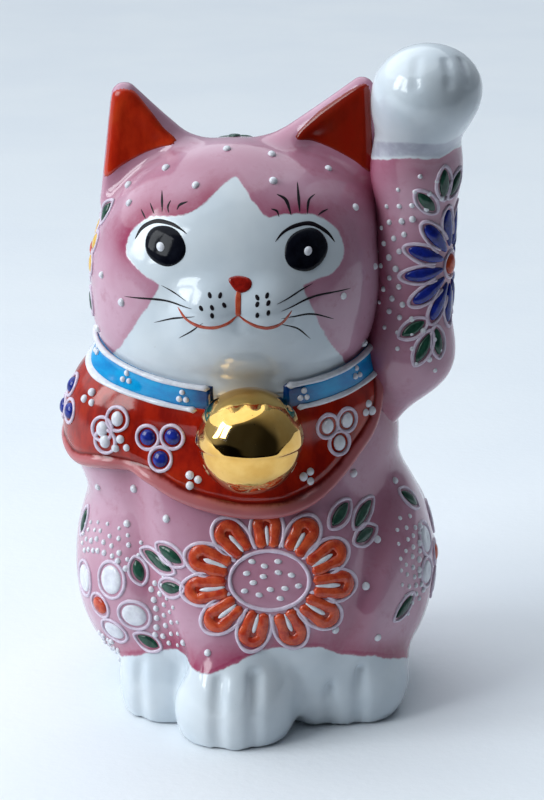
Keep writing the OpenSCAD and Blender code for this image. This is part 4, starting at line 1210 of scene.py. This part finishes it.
# ---- dots over the pink ----
BODY_SPOTS = [
    (-68, 42.7), (-51, 44.4), (-53, 37.6), (-33, 40.8), (16, 42.3), (50, 47.1), (54, 34.7),
    (43, 27.9), (31, 20.8), (46, 17.8), (-14, 17.5), (-25, 17.8), (73, 42.9)]
HEAD_SPOTS = [
    (-18, 75.9), (48, 67.7), (28, 51.5), (-29, 48.9), (-63, 52.7), (-82, 36.4), (-67, 31),
    (75, 46.4), (68, 27.3), (73, 1.4), (73, -30), (-54, -9), (50, -5.8), (-68, -0.8), (-77, -24)]
body_back = [(118 + 11.3 * (i % 12), 16 + 13 * (i // 6) + 5 * math.sin(math.radians(140 * i)))
             for i in range(21)]
head_back = [(118 + 12 * i, 20 + 26 * math.sin(math.radians(115 * i))) for i in range(12)]
beads("body_dots", [(q, BEAD) for q in BODY_SPOTS + body_back])
beads("head_dots", [(q, 0.95 * BEAD) for q in HEAD_SPOTS] + [(q, 0.9 * BEAD) for q in head_back],
      "head")

# ---- flower on the raised arm ----
ARM_AT, ARM_PETALS = (66, 84.1), 13
ARM_LEAVES = [(32, 100, 6, 5.4), (11, 96.7, 42, 4.8), (52, 99.5, -28, 4.8), (-3, 73.2, 122, 4.8),
              (12, 69.6, 152, 5.8), (36, 70.4, 184, 5)]
petals, lines = Enamel(), Enamel()
for i in range(ARM_PETALS):
    a = 90 + 360 / ARM_PETALS * (i + 0.5)
    s = seat(moved(ARM_AT, *polar(a, 6.9, 7.2), "arm"), "arm")
    petals.dome(s, egg(7.4, 2.3, a - 90), 0.6)
    lines.trail(s, curve(shoe(9.0, 3.5, a - 90, 30), 38), 0.62, 0.36, taper=0.4)
petals.lay(blue, "arm_petals_blue", "arm_petals_raised")
Enamel().dome(seat(ARM_AT, "arm"), oval(3.8, 3.2), 0.75).lay(orange, "arm_centre")
lines.trail(seat(ARM_AT, "arm"), oval(5.0, 4.4, 30), 0.55, 0.34, closed=True)
foliage("arm_leaves", ARM_LEAVES, "arm", 2.0, lines, (1.3, 1.3))
lines.lay(lilac, "arm_outlines")


def arm_field():
    """Arcs of dots on the flower's side towards the head, as far round as the arm is free."""
    for j in range(4):
        for k in range(11):
            a = 180 + 150 * ((k + 0.5 * (j % 2) + 0.5) / 11 - 0.5)
            r = 12.6 + 1.7 * j + rng.uniform(-0.2, 0.2)
            q = moved(ARM_AT, *polar(a, r, 1.12 * r), "arm")
            if q[0] > -70:
                yield q, (0.78 - 0.07 * j) * BEAD


beads("arm_dots", arm_field(), "arm")

# ---- temple flower and crown leaves ----
TEMPLE_AT, TEMPLE_R, TEMPLE_PETALS = (-93, 4), 4, 6
petals, lines = Enamel(), Enamel()
for i in range(TEMPLE_PETALS):
    a = 360 / TEMPLE_PETALS * i + 30
    s = seat(moved(TEMPLE_AT, *polar(a, TEMPLE_R), "head"), "head")
    petals.dome(s, egg(3.9, 2.8, a - 90), PETAL_H, 3.0)
    lines.trail(s, curve(shoe(5.2, 4.1, a - 90), 30), 0.55, 0.32, taper=0.4)
petals.lay(yellow, "temple_petals")
Enamel().dome(seat(TEMPLE_AT, "head"), oval(3, 3), 0.7).lay(orange, "temple_centre")
foliage("temple_leaves", [(-85, 21.5, -20, 4), (-84, -15, 20, 4), (-103, 21, 25, 4)], "head", 1.9,
        lines, (1.2, 1.2))
lines.lay(lilac, "temple_outlines")
foliage("crown_leaves", [(184, 76, -8, 5), (196, 66, 30, 5), (168, 67, -35, 5)], "head", 2.4)

# ---- stage, light and camera ----
FLOOR_Z, FLOOR_FAR, FLOOR_CELLS = -0.02, 4000, 16
FLOOR_SPLIT = -155  # the floor nearer the camera than this throws no light back, like a dark room's
WINDOW_SIZE, WINDOW_W, WINDOW_COLOUR = (205, 400), 1.9, (0.92, 0.97, 1.0)
SKY, HORIZON, ZENITH = 0.58, (0.60, 0.67, 0.75), (0.80, 0.89, 1.0)
DIMMED = (  # direction, where it starts and ends, how bright it is there: front, left side, below
    ((0.1, -0.985, 0.1), 0.2, 0.71, 0.08), ((0.95, -0.3, 0.0), 0.0, 0.8, 0.36),
    ((0.0, 0.0, -1.0), 0.0, 0.1, 0.06))
CAM_RISE, CAM_FAR, CAM_AIM = math.radians(18), 500, (0, 0, 58)
CAM_FOCUS, CAM_MIDDLE = 2710, (272 - 259, 392 - 400)  # in pixels of an 800 pixel high view


def floor():
    """A pale floor in two parts, of cells that grow with distance."""
    m = new_material("pale_stage")
    base = m.blend(m.ramp(m.noise(60, 3), 0.3, 0.7), (0.80, 0.83, 0.86), (0.77, 0.805, 0.845))
    m.put(base=base, rough=0.85, specular=0.2, normal=m.bump(m.noise(2.0, 3), 0.25, 0.35))
    u = (np.arange(FLOOR_CELLS + 1) / FLOOR_CELLS) ** 2
    xs = np.r_[-FLOOR_FAR * u[:0:-1], FLOOR_FAR * u]
    for name, side, lit in (("stage_floor", 1, True), ("stage_floor_front", -1, False)):
        ys = FLOOR_SPLIT + (side * FLOOR_FAR - FLOOR_SPLIT) * u
        faces = net(len(ys), len(xs))
        o = mesh_object(name, [(x, y, FLOOR_Z) for y in ys for x in xs],
                        faces if lit else [f[::-1] for f in faces], m.owner)
        o.visible_diffuse = o.visible_glossy = lit


def aimed(o, at, target):
    o.location = Vector(at) * MM
    o.rotation_euler = (Vector(target) - Vector(at)).to_track_quat("-Z", "Y").to_euler()
    return linked(o)


def lights():
    """Two tall window panes on the figure's right, and soft light from above."""
    for pane, shift in (("a", -125), ("b", 125)):
        data = bpy.data.lights.new(f"window_{pane}", "AREA")
        data.shape, data.size, data.size_y = "RECTANGLE", *(v * MM for v in WINDOW_SIZE)
        data.energy, data.color = WINDOW_W, WINDOW_COLOUR
        at = (-552 + 0.4 * shift, -236 - 0.92 * shift, 385)
        aimed(bpy.data.objects.new(f"window_{pane}", data), at, (0, 0, 45))
    sun = bpy.data.lights.new("soft_daylight", "SUN")
    sun.energy, sun.color, sun.angle = 1.8, (0.9, 0.96, 1.0), math.radians(90)
    aimed(bpy.data.objects.new("soft_daylight", sun), (-360, 340, 900), (0, 0, 0))


def room():
    """Bright above and behind, dark in front of the figure and dimmer on its left."""
    world = bpy.data.worlds.new("soft_room")
    bpy.context.scene.world = world
    m = Nodes(world, "Background")
    way = m.add("ShaderNodeTexCoord").outputs["Generated"]
    strength = SKY
    for side, lo, hi, to in DIMMED:
        along = m.add("ShaderNodeVectorMath", {0: way, 1: side}, operation="DOT_PRODUCT")
        dim = m.ramp(along.outputs["Value"], lo, hi, 1.0, to)
        strength = m.math("MULTIPLY", dim, strength)
    height = m.add("ShaderNodeSeparateXYZ", {0: way}).outputs["Z"]
    sky = m.add("ShaderNodeValToRGB", {0: height})
    for element, colour in zip(sky.color_ramp.elements, (HORIZON, ZENITH)):
        element.color = (*colour, 1)
    m.feed(m.last.inputs["Color"], sky.outputs[0])
    m.feed(m.last.inputs["Strength"], strength)


def camera():
    """The photo's own view."""
    data = bpy.data.cameras.new("camera")
    at = (0, -CAM_FAR * math.cos(CAM_RISE), CAM_AIM[2] + CAM_FAR * math.sin(CAM_RISE))
    bpy.context.scene.camera = aimed(bpy.data.objects.new("camera", data), at, CAM_AIM)
    data.sensor_width = 36
    data.lens = 36 * CAM_FOCUS / 800
    data.shift_x, data.shift_y = (v / 800 for v in CAM_MIDDLE)
    data.clip_start, data.clip_end = 0.02, 20


floor()
lights()
room()
camera()
bpy.context.scene.view_settings.view_transform = "Standard"
